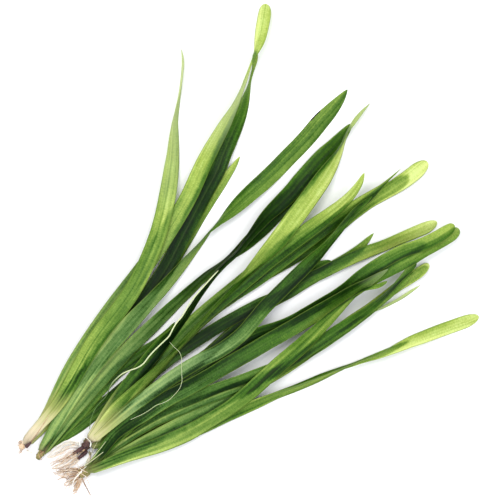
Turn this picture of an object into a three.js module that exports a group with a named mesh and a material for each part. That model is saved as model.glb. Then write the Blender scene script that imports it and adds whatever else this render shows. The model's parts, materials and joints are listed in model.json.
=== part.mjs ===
// A bare-root clump of vallisneria (tape grass) laid on its side on a flat surface.
//
// Four rosettes grow from short crowns that runners join. Their ribbon leaves are woven through each other,
// so each leaf is laid in turn, from the lowest to the topmost, over everything that already lies there.
// Millimetres, +Z up, the surface at z = 0, the leaves pointing towards +X and +Y.

import * as THREE from 'three';

// Driving dimensions
const LEAF_THICKNESS = 0.5;
const GAP = 0.3;
const LEAF_STEP = 13;
const TIP_STEPS = [7, 2.5];
const TIP_WIDTH_LEAST = 1.4;
const ROUND_TIP = 14;
const POINTED_TIP = 42;
const BASE_NARROW = 0.52;
const BASE_SHARE = 0.3;
const EDGE_FOLD = 0.45;
const SHARP_TAPER = 0.75;
const ROUND_TAPER = 0.5;

const ROOT_STEP = 3;
const RUNNER_DIAMETER = 1.8;
const STALK_DIAMETER = 1.3;
const THREAD_DIAMETER = 0.8;
const LOCK_THICKNESS = 1.6;
const LOCK_THINNING = 0.55;
const LOCK_END_WIDTH = 0.6;
const CROWN_SIDES = 12;

// How a strand settles: its stiffness against bending, its weight, and how long it is given
const BEND_RATE = 0.11;
const LEAF_SINK = 0.012;
const ROOT_SINK = 0.04;
const SETTLE_ROUNDS = 5000;
const LIFT_SWEEPS = 3;
const SPAN_PARTS = 8;

// The height map of what already lies on the surface
const CELL = 0.5;
const MAP_HALF = 220;
const MAP_SIZE = 2 * MAP_HALF / CELL;
const SAMPLE = 0.45;

// Leaves from the lowest to the topmost. Each point is x, y and the roll of the blade in degrees;
// past 90 the blade has turned over.
const LEAVES = [
  { name: 'plant_4_leaf_low_a', width: 9, tip: POINTED_TIP, path: [
    [-125, -173.5, 0], [-100, -157.5, 0], [-68, -141, 0], [-36, -123, 0], [-5.5, -107, 0], [20, -94, 0]] },
  { name: 'plant_4_leaf_low_b', width: 8, tip: POINTED_TIP, path: [
    [-124.5, -175.5, 0], [-96, -160.5, 0], [-64, -146, 0], [-32, -130.5, 0], [10, -108, 0]] },
  { name: 'plant_4_leaf_lone_small', width: 6, tip: POINTED_TIP, path: [
    [-122.5, -174.5, 0], [-104, -167, 0], [-64, -153.5, 0], [-24, -136.5, 0], [8, -121.5, 0], [40, -109, 0],
    [64, -98.5, 30], [83, -90.5, 60], [102.5, -84, 30], [117, -77.5, 0], [127, -73, 0]] },
  { name: 'plant_4_leaf_lone', width: 10.4, tip: ROUND_TIP, path: [
    [-124, -175, 0], [-96, -164, 0], [-65.5, -153.5, 0], [-40, -142.5, 0], [-17.5, -132, 15],
    [0, -125, 32], [16, -118, 45], [32, -111.5, 56], [48, -105.5, 62], [64, -98.5, 76], [76, -94, 90],
    [92, -88, 108], [108, -82.5, 126], [124, -75, 146], [140, -69, 165], [156, -63, 178],
    [172, -57.5, 180], [183, -53, 180]] },
  { name: 'plant_4_leaf_thin', width: 5, tip: POINTED_TIP, path: [
    [-120, -174.5, 0], [-96, -164, 0], [-68, -149, 0], [-40, -135, 0], [-8, -115, 0], [16, -101, 0],
    [40, -88, 0], [64, -73.5, 20], [84, -57.5, 40], [98.5, -49, 70], [113.5, -42.5, 55], [136.5, -28, 10]] },
  { name: 'plant_4_leaf_edge_b', width: 8, tip: ROUND_TIP, path: [
    [-122.5, -173, 0], [-105.5, -165, 0], [-81.5, -152, 0], [-57.5, -139, 0], [-35, -128, 0],
    [-13, -118.5, 0], [9.5, -106.5, 0], [32, -93, 0], [53, -77.5, 0], [73.5, -62.5, 20], [94.5, -47, 35],
    [116, -31, 20], [136, -17.5, 0], [142, -13.5, 0]] },
  { name: 'plant_4_leaf_edge_a', width: 9, tip: ROUND_TIP, path: [
    [-121.5, -171, 0], [-102.5, -161.5, 0], [-78.5, -149, 0], [-53, -136, 0], [-30.5, -124, 0],
    [-8, -113.5, 0], [14.5, -102.5, 0], [36, -89.5, 0], [56, -75, 10], [77, -58.5, 25], [96, -45, 38],
    [109, -35, 38], [121.5, -26.5, 20], [134.5, -18.5, 0], [143, -11, 0]] },
  { name: 'plant_4_leaf_dark_b', width: 9, tip: POINTED_TIP, path: [
    [-122.5, -168, 0], [-104, -155, 0], [-80, -139, 0], [-56, -128, 0], [-33.5, -118.5, 0],
    [-11, -110.5, 10], [9.5, -101.5, 20], [30.5, -91, 10], [49.5, -80, 0], [69, -67, 0], [86.5, -54.5, 20],
    [102.5, -42.5, 35], [118.5, -29, 30], [130.5, -17.5, 10]] },
  { name: 'plant_4_leaf_dark_a', width: 9.6, tip: ROUND_TIP, path: [
    [-123, -165.5, 0], [-113.5, -156, 0], [-91, -141, 0], [-69, -128, 0], [-46.5, -118.5, 10],
    [-27, -110.5, 18], [-8, -104, 20], [11, -97, 15], [31, -89.5, 8], [48, -79, 0], [64, -68, 0],
    [80, -57.5, 20], [96, -46, 42], [111.5, -32, 58], [122.5, -19.5, 55], [132.5, -10, 35]] },
  { name: 'plant_2_leaf_low', width: 11, tip: POINTED_TIP, path: [
    [-160, -156.8, 0], [-152, -150.8, 0], [-144, -145.2, 0], [-136, -139.6, 0], [-128, -133.2, 0],
    [-121.6, -127.6, 0], [-113.6, -121.2, 0], [-104, -113.2, 0], [-94.4, -104.8, 0], [-83.2, -95.2, 0],
    [-72, -84.8, 0]] },
  { name: 'plant_2_leaf_short', width: 10, tip: POINTED_TIP, path: [
    [-160, -157.6, 0], [-148.8, -144.8, 0], [-136, -130, 0], [-120, -112, 0], [-110.4, -101.6, 0],
    [-100, -92.4, 0], [-88, -84.4, 0], [-78.4, -77.2, 8], [-69.6, -70.4, 14], [-60, -57.6, 14]] },
  { name: 'plant_2_leaf_under', width: 12.8, tip: POINTED_TIP, path: [
    [-163, -158.5, 0], [-158, -152, 10], [-144, -134, 25], [-127, -113, 18], [-111.5, -94.5, 0],
    [-96, -78, 18], [-80, -62.5, 28], [-64, -47, 36], [-48, -32, 46], [-32, -17.5, 56], [-20, -8, 66],
    [-12, -2.5, 52], [9.5, 17, 20], [40, 51, 0], [70.5, 86.5, 0], [81.5, 99, 0]] },
  { name: 'plant_1_leaf_short', width: 9, tip: POINTED_TIP, path: [
    [-176, -151, 0], [-162.5, -134.5, 0], [-141, -108, 0], [-118.5, -87, 0], [-86, -45, 0], [-67, -18, 0],
    [-52, 6, 10], [-41, 24, 25], [-31, 40, 28], [-20.5, 56, 25], [-13, 67, 10], [-8, 75, 0]] },
  { name: 'plant_1_leaf_dark', width: 13.6, tip: ROUND_TIP, path: [
    [-175.5, -152, 0], [-161.5, -136.5, 0], [-143, -113, 0], [-104, -65.5, 0], [-71, -21.5, 0],
    [-50.5, 17, 10], [-34.5, 48, 15], [-26, 64, 0], [-20, 80, 0], [-13, 96, 22], [-6.5, 112, 42],
    [-2, 128, 64], [1, 140, 86], [2.5, 146.5, 75], [4.5, 158.5, 40]] },
  { name: 'plant_1_leaf_wide', width: 13.6, tip: ROUND_TIP, path: [
    [-178, -151.5, 0], [-166.5, -139, 0], [-141.5, -93, 0], [-112, -49.5, 0], [-79, -6, 0],
    [-50.5, 39.5, 0],
    [-35.5, 72, 20], [-18, 104, 46], [-10, 120, 64], [-4, 136, 76], [0.5, 148, 92], [5.5, 160, 124],
    [9, 175, 142], [11, 185, 148], [12.5, 197, 155]] },
  { name: 'plant_2_leaf_long', width: 14, tip: POINTED_TIP, path: [
    [-164.5, -156.5, 0], [-158, -145, 0], [-144, -121.5, 0], [-128, -97, 0], [-112, -76, 0],
    [-96, -58.5, 20], [-80, -41.5, 36], [-64, -24, 44], [-49, -6, 56], [-36.5, 9.5, 78], [-32, 15, 95],
    [-16.7, 29.6, 135], [-0.6, 44.6, 160], [15.3, 58.7, 178], [30.2, 73.8, 180], [44.5, 88.5, 180],
    [57.5, 104, 180], [69.5, 117, 180], [78, 128.5, 180]] },
  { name: 'plant_1_leaf_lime', width: 13.5, tip: POINTED_TIP, path: [
    [-177, -150, 0], [-153, -122.5, 0], [-124, -73.5, 0], [-93.5, -32, 0], [-75, 8, 0], [-66.5, 40, 0],
    [-62, 72, 34], [-60, 104, 62], [-56, 127, 86], [-54.5, 140, 100], [-54, 152, 112], [-55, 161, 120]] },
  { name: 'plant_3_leaf_low', width: 10, tip: POINTED_TIP, path: [
    [-126, -156.8, 0], [-120, -154.4, 0], [-112, -150.8, 0], [-103.2, -145.6, 0], [-92.8, -139.2, 0],
    [-80, -131.2, 0], [-67.2, -123.2, 0]] },
  { name: 'plant_3_leaf_short', width: 8.5, tip: POINTED_TIP, path: [
    [-122.5, -147, 0], [-104, -130, 0], [-80, -114, 0], [-58, -100, 0], [-36, -84, 0], [-22.4, -73.6, 20],
    [-9.6, -60, 20]] },
  { name: 'plant_3_leaf_round', width: 8.5, tip: ROUND_TIP, path: [
    [-122, -145, 0], [-109, -133, 0], [-87, -119, 0], [-64, -103.5, 0], [-43, -90, 0], [-22, -72, 0],
    [1.5, -52, 0], [24, -37.5, 0], [39, -25, 0], [53.5, -14.5, 10], [65, -9, 0]] },
  { name: 'plant_3_leaf_mid', width: 9.6, tip: POINTED_TIP, path: [
    [-120.5, -148.5, 0], [-101, -131, 0], [-79.5, -115, 0], [-59, -101, 0], [-38, -87, 0],
    [-14, -67, 0], [9.5, -46, 0], [29.5, -35, 0], [48, -23.5, 0], [66, -13.5, 10], [80, -4.5, 22],
    [91, 5, 22], [99, 13.5, 0]] },
  { name: 'plant_3_leaf_far', width: 10, tip: ROUND_TIP, path: [
    [-121.5, -147, 0], [-103, -125, 0], [-91, -112.5, 0], [-81.5, -102.3, 0], [-72, -93.4, 0],
    [-56, -81.3, 0], [-40, -70.8, 0], [-21, -58.9, 0], [-1.5, -48.2, 0], [9.5, -42.5, 0],
    [29, -35, 0], [44, -25, 0], [60, -17, 0], [76, -9, 0],
    [92, -2, 8], [108, 4, 22], [124, 11, 22], [140, 17.5, 8], [149.5, 22.5, 0]] },
  { name: 'plant_3_leaf_twin', width: 11, tip: ROUND_TIP, path: [
    [-123, -148.5, 0], [-113.5, -135, 0], [-93.5, -108.5, 0], [-71, -84.5, 0], [-56, -69.5, 0],
    [-40, -55.5, 0], [-24, -42.5, 0], [-3, -27.5, 0], [22, -9.5, 0], [43, 5.5, 0],
    [64, 19, 20], [85, 32, 25], [104, 45, 20],
    [117.5, 52, 0], [126.5, 58.5, 0]] },
  { name: 'plant_3_leaf_yellow', width: 12.6, tip: ROUND_TIP, path: [
    [-122, -150, 0], [-113, -135, 0], [-101, -117, 0], [-83.5, -93, 0], [-60.5, -72.5, 0], [-40, -55.5, 0],
    [-25, -43, 0], [-15.5, -36.5, 0], [-3.5, -27, 0], [8, -20.5, 0], [26, -10, 0],
    [45.5, 1.5, 10], [64, 14, 28],
    [80, 26, 44], [93, 36, 42], [109, 46.5, 28], [124, 56, 5], [136, 65.5, 0], [142, 70.5, 0]] },
  { name: 'plant_3_leaf_dark', width: 12, tip: POINTED_TIP, path: [
    [-123, -149.5, 0], [-104, -126.5, 0], [-82.5, -102.5, 0], [-60.5, -76, 0], [-40, -56, 0],
    [-24, -42.5, 0], [-14.5, -36, 0], [7, -22, 0], [28, -6.5, 0], [48, 9, 0], [67, 23, 22], [84, 35, 32],
    [99, 46.5, 52], [106.5, 53, 66], [121, 65.5, 76]] },
  { name: 'plant_3_leaf_long', width: 13, tip: POINTED_TIP, path: [
    [-124, -148, 0], [-115, -134.5, 0], [-95, -113.5, 0], [-76, -92.5, 0], [-56.5, -70, 0],
    [-40, -54, 0], [-21, -38, 0], [-2.5, -23, 0], [13.5, -9.5, 0], [29.5, 3, 0], [45.5, 15, 0],
    [61.5, 27, 28], [75, 38.5, 38], [85.5, 50.5, 35], [91, 61.5, 20]] },
  { name: 'plant_3_leaf_first', width: 13.4, tip: POINTED_TIP, path: [
    [-126, -148, 0], [-108, -121.5, 0], [-90, -99.5, 10], [-68, -72, 35], [-57.5, -61, 56],
    [-47.5, -46.5, 62], [-35, -28, 62], [-20.5, -11, 66], [-12, -3.5, 66], [0.2, 11.7, 52],
    [14.2, 28.2, 34], [29, 42, 8], [43.5, 59, 0], [57.5, 74.5, 10], [70.5, 88, 10], [80, 101, 0]] },
  { name: 'plant_4_leaf_narrow', width: 8, tip: POINTED_TIP, path: [
    [-121.5, -166.5, 0], [-96, -137.5, 10], [-72, -118.5, 20], [-48, -101.5, 32], [-32, -91, 38],
    [-8, -77.5, 40], [16, -64, 40], [40, -54, 35], [62, -42, 20]] },
  { name: 'plant_4_leaf_side', width: 9.6, tip: ROUND_TIP, path: [
    [-123, -169.5, 0], [-103, -147, 0], [-79, -126.5, 0], [-55, -110.5, 0], [-31, -94.5, 0], [-7, -80, 0],
    [17, -66.5, 0], [41, -56, 0], [65, -42, 0], [89, -24, 0], [113, -8, 10], [129, 1, 20],
    [140, 5.5, 0]] },
  { name: 'plant_4_leaf_far_b', width: 10, tip: ROUND_TIP, path: [
    [-125, -172, 0], [-112, -157, 0], [-91, -136, 0], [-67, -117, 0], [-43, -101, 0], [-19, -86.5, 0],
    [5, -72, 0], [29, -62, 0], [53, -49, 0], [77, -35, 0], [93, -25.5, 0], [117, -13, 0], [129.5, -6.5, 0],
    [144, 2.5, 10], [158.5, 9.5, 20], [167, 17, 0]] },
  { name: 'plant_4_leaf_far_a', width: 10.8, tip: ROUND_TIP, path: [
    [-124, -170.5, 0], [-108, -152, 0], [-88, -129.5, 0], [-64, -112, 0], [-40, -96, 10], [-16, -79.5, 20],
    [1, -67.5, 28], [11, -64.5, 30], [24, -60, 32], [37.5, -54, 34], [50.5, -46, 34], [64, -38.5, 32],
    [77.5, -29.5, 25], [91, -19, 10], [104, -10.5, 0], [120, -1.5, 0], [136, 4, 0], [152, 12, 12],
    [163, 20, 0]] },
  { name: 'plant_4_leaf_green', width: 12.8, tip: POINTED_TIP, path: [
    [-122.5, -167, 0], [-105.5, -145, 0], [-86.5, -132, 0], [-67, -119, 0], [-48, -109, 10],
    [-32, -100, 20], [-16, -90.5, 5], [0, -81.5, 0], [16, -72, 0], [32, -63, 0], [48, -53.5, 8],
    [64, -44, 22], [80, -34, 32], [96, -24.5, 38], [110, -15, 35]] },
  { name: 'plant_4_leaf_top', width: 13.2, tip: POINTED_TIP, path: [
    [-123.5, -174, 0], [-96, -163.5, 0], [-72, -155.5, 0], [-50.5, -146.5, 10], [-30.5, -135, 25],
    [-13.5, -124, 25], [0, -113, 10], [13, -101, 0], [25.5, -89.5, 0], [38.5, -78.5, 10],
    [51, -66.5, 32], [64, -53.5, 44], [76, -42.5, 60], [86.5, -33, 84], [97.5, -29.5, 125],
    [109, -25, 150]] },
  { name: 'plant_3_leaf_bright', width: 15, tip: POINTED_TIP, path: [
    [-125, -149.5, 0], [-110.5, -131, 10], [-90.5, -111, 40], [-69.5, -90, 64], [-49.5, -68, 72],
    [-30.5, -47, 72], [-12, -28, 66], [5.5, -9.5, 46], [21.5, 7, 18], [35, 25, 0], [48, 42.5, 12],
    [60, 60, 28], [69.5, 76, 54], [77, 93, 88], [80, 99, 106], [85, 105.5, 118], [89.5, 111, 118],
    [96, 117.5, 112]] },
  { name: 'plant_3_leaf_glossy', width: 11.4, tip: POINTED_TIP, path: [
    [-122, -149, 0], [-99, -129, 0], [-80, -114.5, 0], [-61, -101, 0], [-41.5, -89, 0], [-23, -79.5, 0],
    [-5.5, -66, 0], [10.5, -47, 0], [26.5, -31, 0], [42.5, -15, 10], [57.5, 0, 42], [70.5, 15, 50],
    [81.5, 29, 50], [97.5, 43, 30]] },
];

// Crowns: the middle, the heading in degrees, the length, the radius and the height of the middle
const CROWNS = [
  { name: 'crown_1', at: [-181.5, -156, 2.4], heading: 52, length: 7, radius: 3, colour: 0xd9b98f },
  { name: 'crown_2', at: [-167.6, -163.4, 3], heading: 55, length: 9.5, radius: 4.4, colour: 0x8a7a3c },
  { name: 'crown_3', at: [-130.4, -155, 3.2], heading: 58, length: 10, radius: 4.6, colour: 0x3a2128 },
  { name: 'crown_4', at: [-132.4, -177.6, 3.2], heading: 20, length: 10, radius: 4.6, colour: 0x9a7a45 },
];

// Round strands: old stubs of crown 3, the bud of crown 1, the runners, single roots, stalk and thread
const STUBS = [
  { name: 'crown_3_stub_a', diameter: 3.2, path: [[-135.2, -158.9], [-138.4, -161.2], [-141.6, -163.4]] },
  { name: 'crown_3_stub_b', diameter: 3, path: [[-132.2, -162.5], [-135, -164.9], [-138.2, -167.2]] },
];
const BUD = { name: 'crown_1_bud', diameter: 2.6, path: [[-178.8, -157], [-176.4, -155], [-174.2, -153]] };
const RUNNERS = [
  { name: 'runner_1_2', path: [[-177.8, -160.6], [-176, -161.8], [-174.2, -162.5]] },
  { name: 'runner_2_3', path: [[-160.8, -166], [-152, -163], [-144, -157.5], [-138, -154.5]] },
  { name: 'runner_3_4', path: [[-128.4, -161.8], [-128, -166], [-129.4, -170.2]] },
];
const STALK = { name: 'flower_stalk', path: [
  [-127.5, -142.5], [-127, -136], [-122.5, -125], [-115, -117], [-110.5, -107], [-101.5, -98.5], [-96, -96],
  [-86.5, -92],
  [-79, -83], [-70.5, -74.5], [-64, -68], [-60, -60], [-53.5, -52], [-48, -42.5], [-36, -28], [-25, -16]] };
const THREAD = { name: 'root_thread', path: [
  [-64, -73], [-59, -78.5], [-55, -83], [-54.5, -94.5], [-54.5, -107], [-57.5, -112], [-65.5, -120],
  [-74.5, -123.5], [-82.5, -129], [-95, -135]] };

// Flat locks of matted roots: width, thickness and path
const LOCKS = [
  { name: 'root_lock_1', width: 7.5, path: [
    [-138.5, -156], [-144, -154], [-150.5, -157], [-157, -161], [-162.5, -166.5]] },
  { name: 'root_lock_2', width: 9, path: [[-141, -163.5], [-147, -167], [-154.5, -171], [-162, -174.5]] },
  { name: 'root_lock_3', width: 8, path: [[-136.5, -168], [-142.5, -172.5], [-149.5, -176], [-158, -178]] },
  { name: 'root_lock_4', width: 8, path: [[-137, -178], [-142.5, -181], [-148, -184], [-154, -187]] },
  { name: 'root_lock_5', width: 5, path: [[-135.5, -182], [-137.5, -186.5], [-140, -192], [-142.5, -196.5]] },
];

const ROOTS = [
  { name: 'root_arch', diameter: 1.2, path: [
    [-137.5, -155], [-139.5, -152.5], [-144, -151], [-149, -153.5], [-155, -157], [-161, -160.5]] },
  { name: 'root_loop', diameter: 1.2, path: [
    [-135.5, -157], [-136, -152], [-133, -149], [-129.5, -150.5], [-127, -153.5], [-127.5, -157]] },
  { name: 'root_white', diameter: 1.2, path: [[-134, -176.5], [-138.5, -181], [-141, -185], [-141.5, -188]] },
  { name: 'root_brown', diameter: 1.3, path: [
    [-133.5, -182], [-132, -186.5], [-129.5, -192], [-127.5, -196.5]] },
  { name: 'root_tan', diameter: 1.3, path: [[-137.5, -174], [-143, -177], [-152, -177], [-162, -176.5]] },
  { name: 'root_hair_a', diameter: 0.8, path: [[-183, -161], [-183, -174.5], [-181, -188], [-181.5, -192]] },
  { name: 'root_hair_b', diameter: 0.8, path: [[-181, -161.5], [-177, -167], [-173, -172]] },
  { name: 'root_hair_c', diameter: 0.8, path: [
    [-130, -184], [-127.5, -190], [-124.5, -194.5], [-121.5, -197.5]] },
];

const finish = (color, roughness) => new THREE.MeshStandardMaterial({ color, roughness, metalness: 0 });
const LEAF_GREEN = finish(0x6f9a3c, 0.45);
const LEAF_DARK = finish(0x3d6327, 0.4);
const PALE = finish(0xd9dcb0, 0.6);
const ROOT_TAN = finish(0xd9bd97, 0.8);
const STUB_BROWN = finish(0x2e1a1c, 0.7);

const heights = new Float32Array(MAP_SIZE * MAP_SIZE).fill(-Infinity);
const cellOf = (v) => Math.floor((v + MAP_HALF) / CELL);

// Notes a point of a laid piece in its cell of the height map and in the eight around it.
function raise(x, y, z) {
  const column = cellOf(x);
  const row = cellOf(y);
  for (let r = row - 1; r <= row + 1; r++) {
    for (let c = column - 1; c <= column + 1; c++) {
      const cell = r * MAP_SIZE + c;
      heights[cell] = Math.max(heights[cell], z);
    }
  }
}

// Calls visit with the three weights of points spread over a triangle, at most SAMPLE apart.
function scatter(a, b, c, visit) {
  const longest = Math.max(a.distanceTo(b), b.distanceTo(c), c.distanceTo(a));
  const count = Math.max(1, Math.ceil(longest / SAMPLE));
  for (let i = 0; i <= count; i++) {
    for (let j = 0; j <= count - i; j++) {
      visit(1 - (i + j) / count, i / count, j / count);
    }
  }
}

// The stations along a strand: place in plan, heading, roll, and distance from the base.
// The third coordinate of the curve carries the roll, scaled down so that it hardly changes the spacing.
function stationsAlong(path, step, tipSteps) {
  const ROLL_SCALE = 0.02;
  const FINE = 30;
  const points = path.map(([x, y, roll = 0]) => new THREE.Vector3(x, y, roll * ROLL_SCALE));
  const fine = new THREE.CatmullRomCurve3(points, false, 'centripetal').getPoints(FINE * (path.length - 1));
  const run = [0];
  for (let i = 1; i < fine.length; i++) {
    run.push(run[i - 1] + Math.hypot(fine[i].x - fine[i - 1].x, fine[i].y - fine[i - 1].y));
  }
  const length = run[run.length - 1];
  const body = length - (tipSteps[0] ?? 0);
  const spans = Math.max(2, Math.round(body / step));
  const places = [];
  for (let i = 0; i <= spans; i++) {
    places.push(body * i / spans);
  }
  tipSteps.forEach((_, i) => places.push(length - (tipSteps[i + 1] ?? 0)));
  return places.map((s) => {
    let i = run.findIndex((r) => r >= s);
    i = i < 1 ? (i < 0 ? run.length - 1 : 1) : i;
    const share = (s - run[i - 1]) / (run[i] - run[i - 1]);
    const at = fine[i - 1].clone().lerp(fine[i], share);
    const before = fine[Math.max(0, i - 2)];
    const after = fine[Math.min(fine.length - 1, i + 1)];
    const heading = Math.atan2(after.y - before.y, after.x - before.x);
    return { x: at.x, y: at.y, roll: THREE.MathUtils.degToRad(at.z / ROLL_SCALE), heading, s, length };
  });
}

// The four corners of a flat cross-section around its station, at height 0.
function corners(station, width, thickness) {
  const side = new THREE.Vector3(-Math.sin(station.heading), Math.cos(station.heading), 0);
  const across = side.clone().multiplyScalar(Math.cos(station.roll));
  across.z = Math.sin(station.roll);
  const normal = side.clone().multiplyScalar(-Math.sin(station.roll));
  normal.z = Math.cos(station.roll);
  across.multiplyScalar(width / 2);
  normal.multiplyScalar(thickness / 2);
  const centre = new THREE.Vector3(station.x, station.y, 0);
  return [[1, 1], [-1, 1], [-1, -1], [1, -1]].map(([a, n]) => centre.clone()
    .addScaledVector(across, a).addScaledVector(normal, n));
}

// The triangles of a closed strand of four-cornered rings. The broad faces are split along the same
// diagonal above and below, so that a twisted span doesn't pass through itself.
function strandTriangles(rings) {
  const triangles = [];
  for (let k = 0; k < rings - 1; k++) {
    for (let j = 0; j < 4; j++) {
      const a = 4 * k + j;
      const b = 4 * k + (j + 1) % 4;
      const c = b + 4;
      const d = a + 4;
      if (j === 2) {
        triangles.push([a, b, d], [b, c, d]);
      } else {
        triangles.push([a, b, c], [a, c, d]);
      }
    }
  }
  const last = 4 * (rings - 1);
  triangles.push([0, 2, 1], [0, 3, 2], [last, last + 1, last + 2], [last, last + 2, last + 3]);
  return triangles;
}

// How high the spine has to be along each span, so that the strand clears all that lies under it.
function leastHeights(vertices, triangles, spans) {
  const least = Array.from({ length: spans }, () => new Array(SPAN_PARTS + 1).fill(-Infinity));
  for (const [a, b, c] of triangles) {
    const span = Math.min(Math.floor(Math.min(a, b, c) / 4), spans - 1);
    const place = [a, b, c].map((v) => Math.floor(v / 4) - span);
    const [p, q, r] = [vertices[a], vertices[b], vertices[c]];
    scatter(p, q, r, (u, v, w) => {
      const x = u * p.x + v * q.x + w * r.x;
      const y = u * p.y + v * q.y + w * r.y;
      const below = u * p.z + v * q.z + w * r.z;
      const share = u * place[0] + v * place[1] + w * place[2];
      const under = heights[cellOf(y) * MAP_SIZE + cellOf(x)];
      const need = Math.max(under + GAP, 0) - below;
      const part = share * SPAN_PARTS;
      const low = Math.floor(part);
      const high = Math.ceil(part);
      least[span][low] = Math.max(least[span][low], need);
      least[span][high] = Math.max(least[span][high], need);
    });
  }
  return least;
}

// Lets a strand sink under its weight, with some stiffness, until it rests on what it has to clear.
function settle(least, sink) {
  const count = least.length + 1;
  const spanTops = least.map((span) => Math.max(...span));
  const z = new Array(count).fill(Math.max(...spanTops));
  const floorAt = (k) => {
    let floor = -Infinity;
    for (let j = 0; j <= SPAN_PARTS; j++) {
      const share = j / SPAN_PARTS;
      if (k < count - 1 && share < 1) {
        const need = (least[k][j] - share * z[k + 1]) / (1 - share);
        floor = Math.max(floor, Math.min(need, spanTops[k]));
      }
      if (k > 0 && share > 0) {
        const need = (least[k - 1][j] - (1 - share) * z[k - 1]) / share;
        floor = Math.max(floor, Math.min(need, spanTops[k - 1]));
      }
    }
    return floor;
  };
  const bend = (k) => (k < 1 || k > count - 2 ? 0 : z[k - 1] - 2 * z[k] + z[k + 1]);
  for (let round = 0; round < SETTLE_ROUNDS; round++) {
    for (let k = 0; k < count; k++) {
      const push = bend(k - 1) - 2 * bend(k) + bend(k + 1);
      z[k] = Math.max(z[k] - BEND_RATE * push - sink, floorAt(k));
    }
  }
  for (let sweep = 0; sweep < LIFT_SWEEPS; sweep++) {
    least.forEach((span, k) => span.forEach((need, j) => {
      const share = j / SPAN_PARTS;
      const short = need - (1 - share) * z[k] - share * z[k + 1];
      if (short > 0) {
        z[k] += short;
        z[k + 1] += short;
      }
    }));
  }
  return z;
}

function meshOf(name, vertices, triangles, material) {
  const geometry = new THREE.BufferGeometry();
  const numbers = vertices.flatMap((vertex) => vertex.toArray());
  geometry.setAttribute('position', new THREE.Float32BufferAttribute(numbers, 3));
  geometry.setIndex(triangles.flat());
  geometry.computeVertexNormals();
  const mesh = new THREE.Mesh(geometry, material);
  mesh.name = name;
  return mesh;
}

function noteInMap(vertices, triangles) {
  for (const [a, b, c] of triangles) {
    const [p, q, r] = [vertices[a], vertices[b], vertices[c]];
    scatter(p, q, r, (u, v, w) => raise(
      u * p.x + v * q.x + w * r.x, u * p.y + v * q.y + w * r.y, u * p.z + v * q.z + w * r.z));
  }
}

// Lays a strand over all that lies on the surface. size(station) gives its width and thickness there.
function lay(name, path, step, tipSteps, size, sink, material) {
  const stations = stationsAlong(path, step, tipSteps);
  const vertices = stations.flatMap((station) => corners(station, ...size(station)));
  const triangles = strandTriangles(stations.length);
  const z = settle(leastHeights(vertices, triangles, stations.length - 1), sink);
  vertices.forEach((vertex, i) => {
    vertex.z += z[Math.floor(i / 4)];
  });
  noteInMap(vertices, triangles);
  return meshOf(name, vertices, triangles, material);
}

// A leaf is narrow at its base, broad from a third of its length, and tapers at the tip.
// Where it stands on edge it half folds along its midrib, so it is less wide there.
function leafSize(width, tip) {
  const taper = tip > ROUND_TIP ? SHARP_TAPER : ROUND_TAPER;
  return ({ s, length, roll }) => {
    const fromBase = Math.min(1, s / (length * BASE_SHARE));
    const base = BASE_NARROW + (1 - BASE_NARROW) * Math.sin(fromBase * Math.PI / 2);
    const fromTip = Math.min(1, (length - s) / tip);
    const point = (fromTip * (2 - fromTip)) ** taper;
    const fold = 1 - EDGE_FOLD * Math.sin(roll) ** 4;
    return [Math.max(TIP_WIDTH_LEAST, width * base * point * fold), LEAF_THICKNESS];
  };
}

// A lock of roots spreads from its crown and thins to its tips.
function lockSize(width) {
  return ({ s, length }) => [
    width * (LOCK_END_WIDTH + (1 - LOCK_END_WIDTH) * Math.sin(Math.PI * s / length)),
    LOCK_THICKNESS * (1 - LOCK_THINNING * s / length)];
}

const roundSize = (diameter) => () => [diameter, diameter];

// A crown is a barrel on its side, closed by domes and cut flat where it rests.
function crown({ name, at, heading, length, radius, colour }) {
  const profile = [[0, -1], [0.62, -0.86], [0.94, -0.4], [1, 0.1], [0.9, 0.6], [0.62, 0.92], [0, 1]]
    .map(([r, t]) => new THREE.Vector2(r * radius, t * length / 2));
  const lathe = new THREE.LatheGeometry(profile, CROWN_SIDES);
  lathe.rotateZ(-Math.PI / 2);
  lathe.rotateZ(THREE.MathUtils.degToRad(heading));
  lathe.translate(...at);
  const place = lathe.getAttribute('position');
  const unique = [];
  const slots = new Map();
  const slotOf = [];
  for (let i = 0; i < place.count; i++) {
    const point = new THREE.Vector3(place.getX(i), place.getY(i), Math.max(0, place.getZ(i)));
    const key = point.toArray().map((v) => v.toFixed(3)).join();
    if (!slots.has(key)) {
      slots.set(key, unique.length);
      unique.push(point);
    }
    slotOf.push(slots.get(key));
  }
  const index = lathe.getIndex().array;
  const triangles = [];
  for (let i = 0; i < index.length; i += 3) {
    const triangle = [slotOf[index[i]], slotOf[index[i + 1]], slotOf[index[i + 2]]];
    if (new Set(triangle).size === 3) {
      triangles.push(triangle);
    }
  }
  noteInMap(unique, triangles);
  return meshOf(name, unique, triangles, finish(colour, 0.7));
}

const clump = new THREE.Group();
clump.name = 'vallisneria_clump';
const laid = new THREE.Group();
clump.add(laid);

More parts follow.
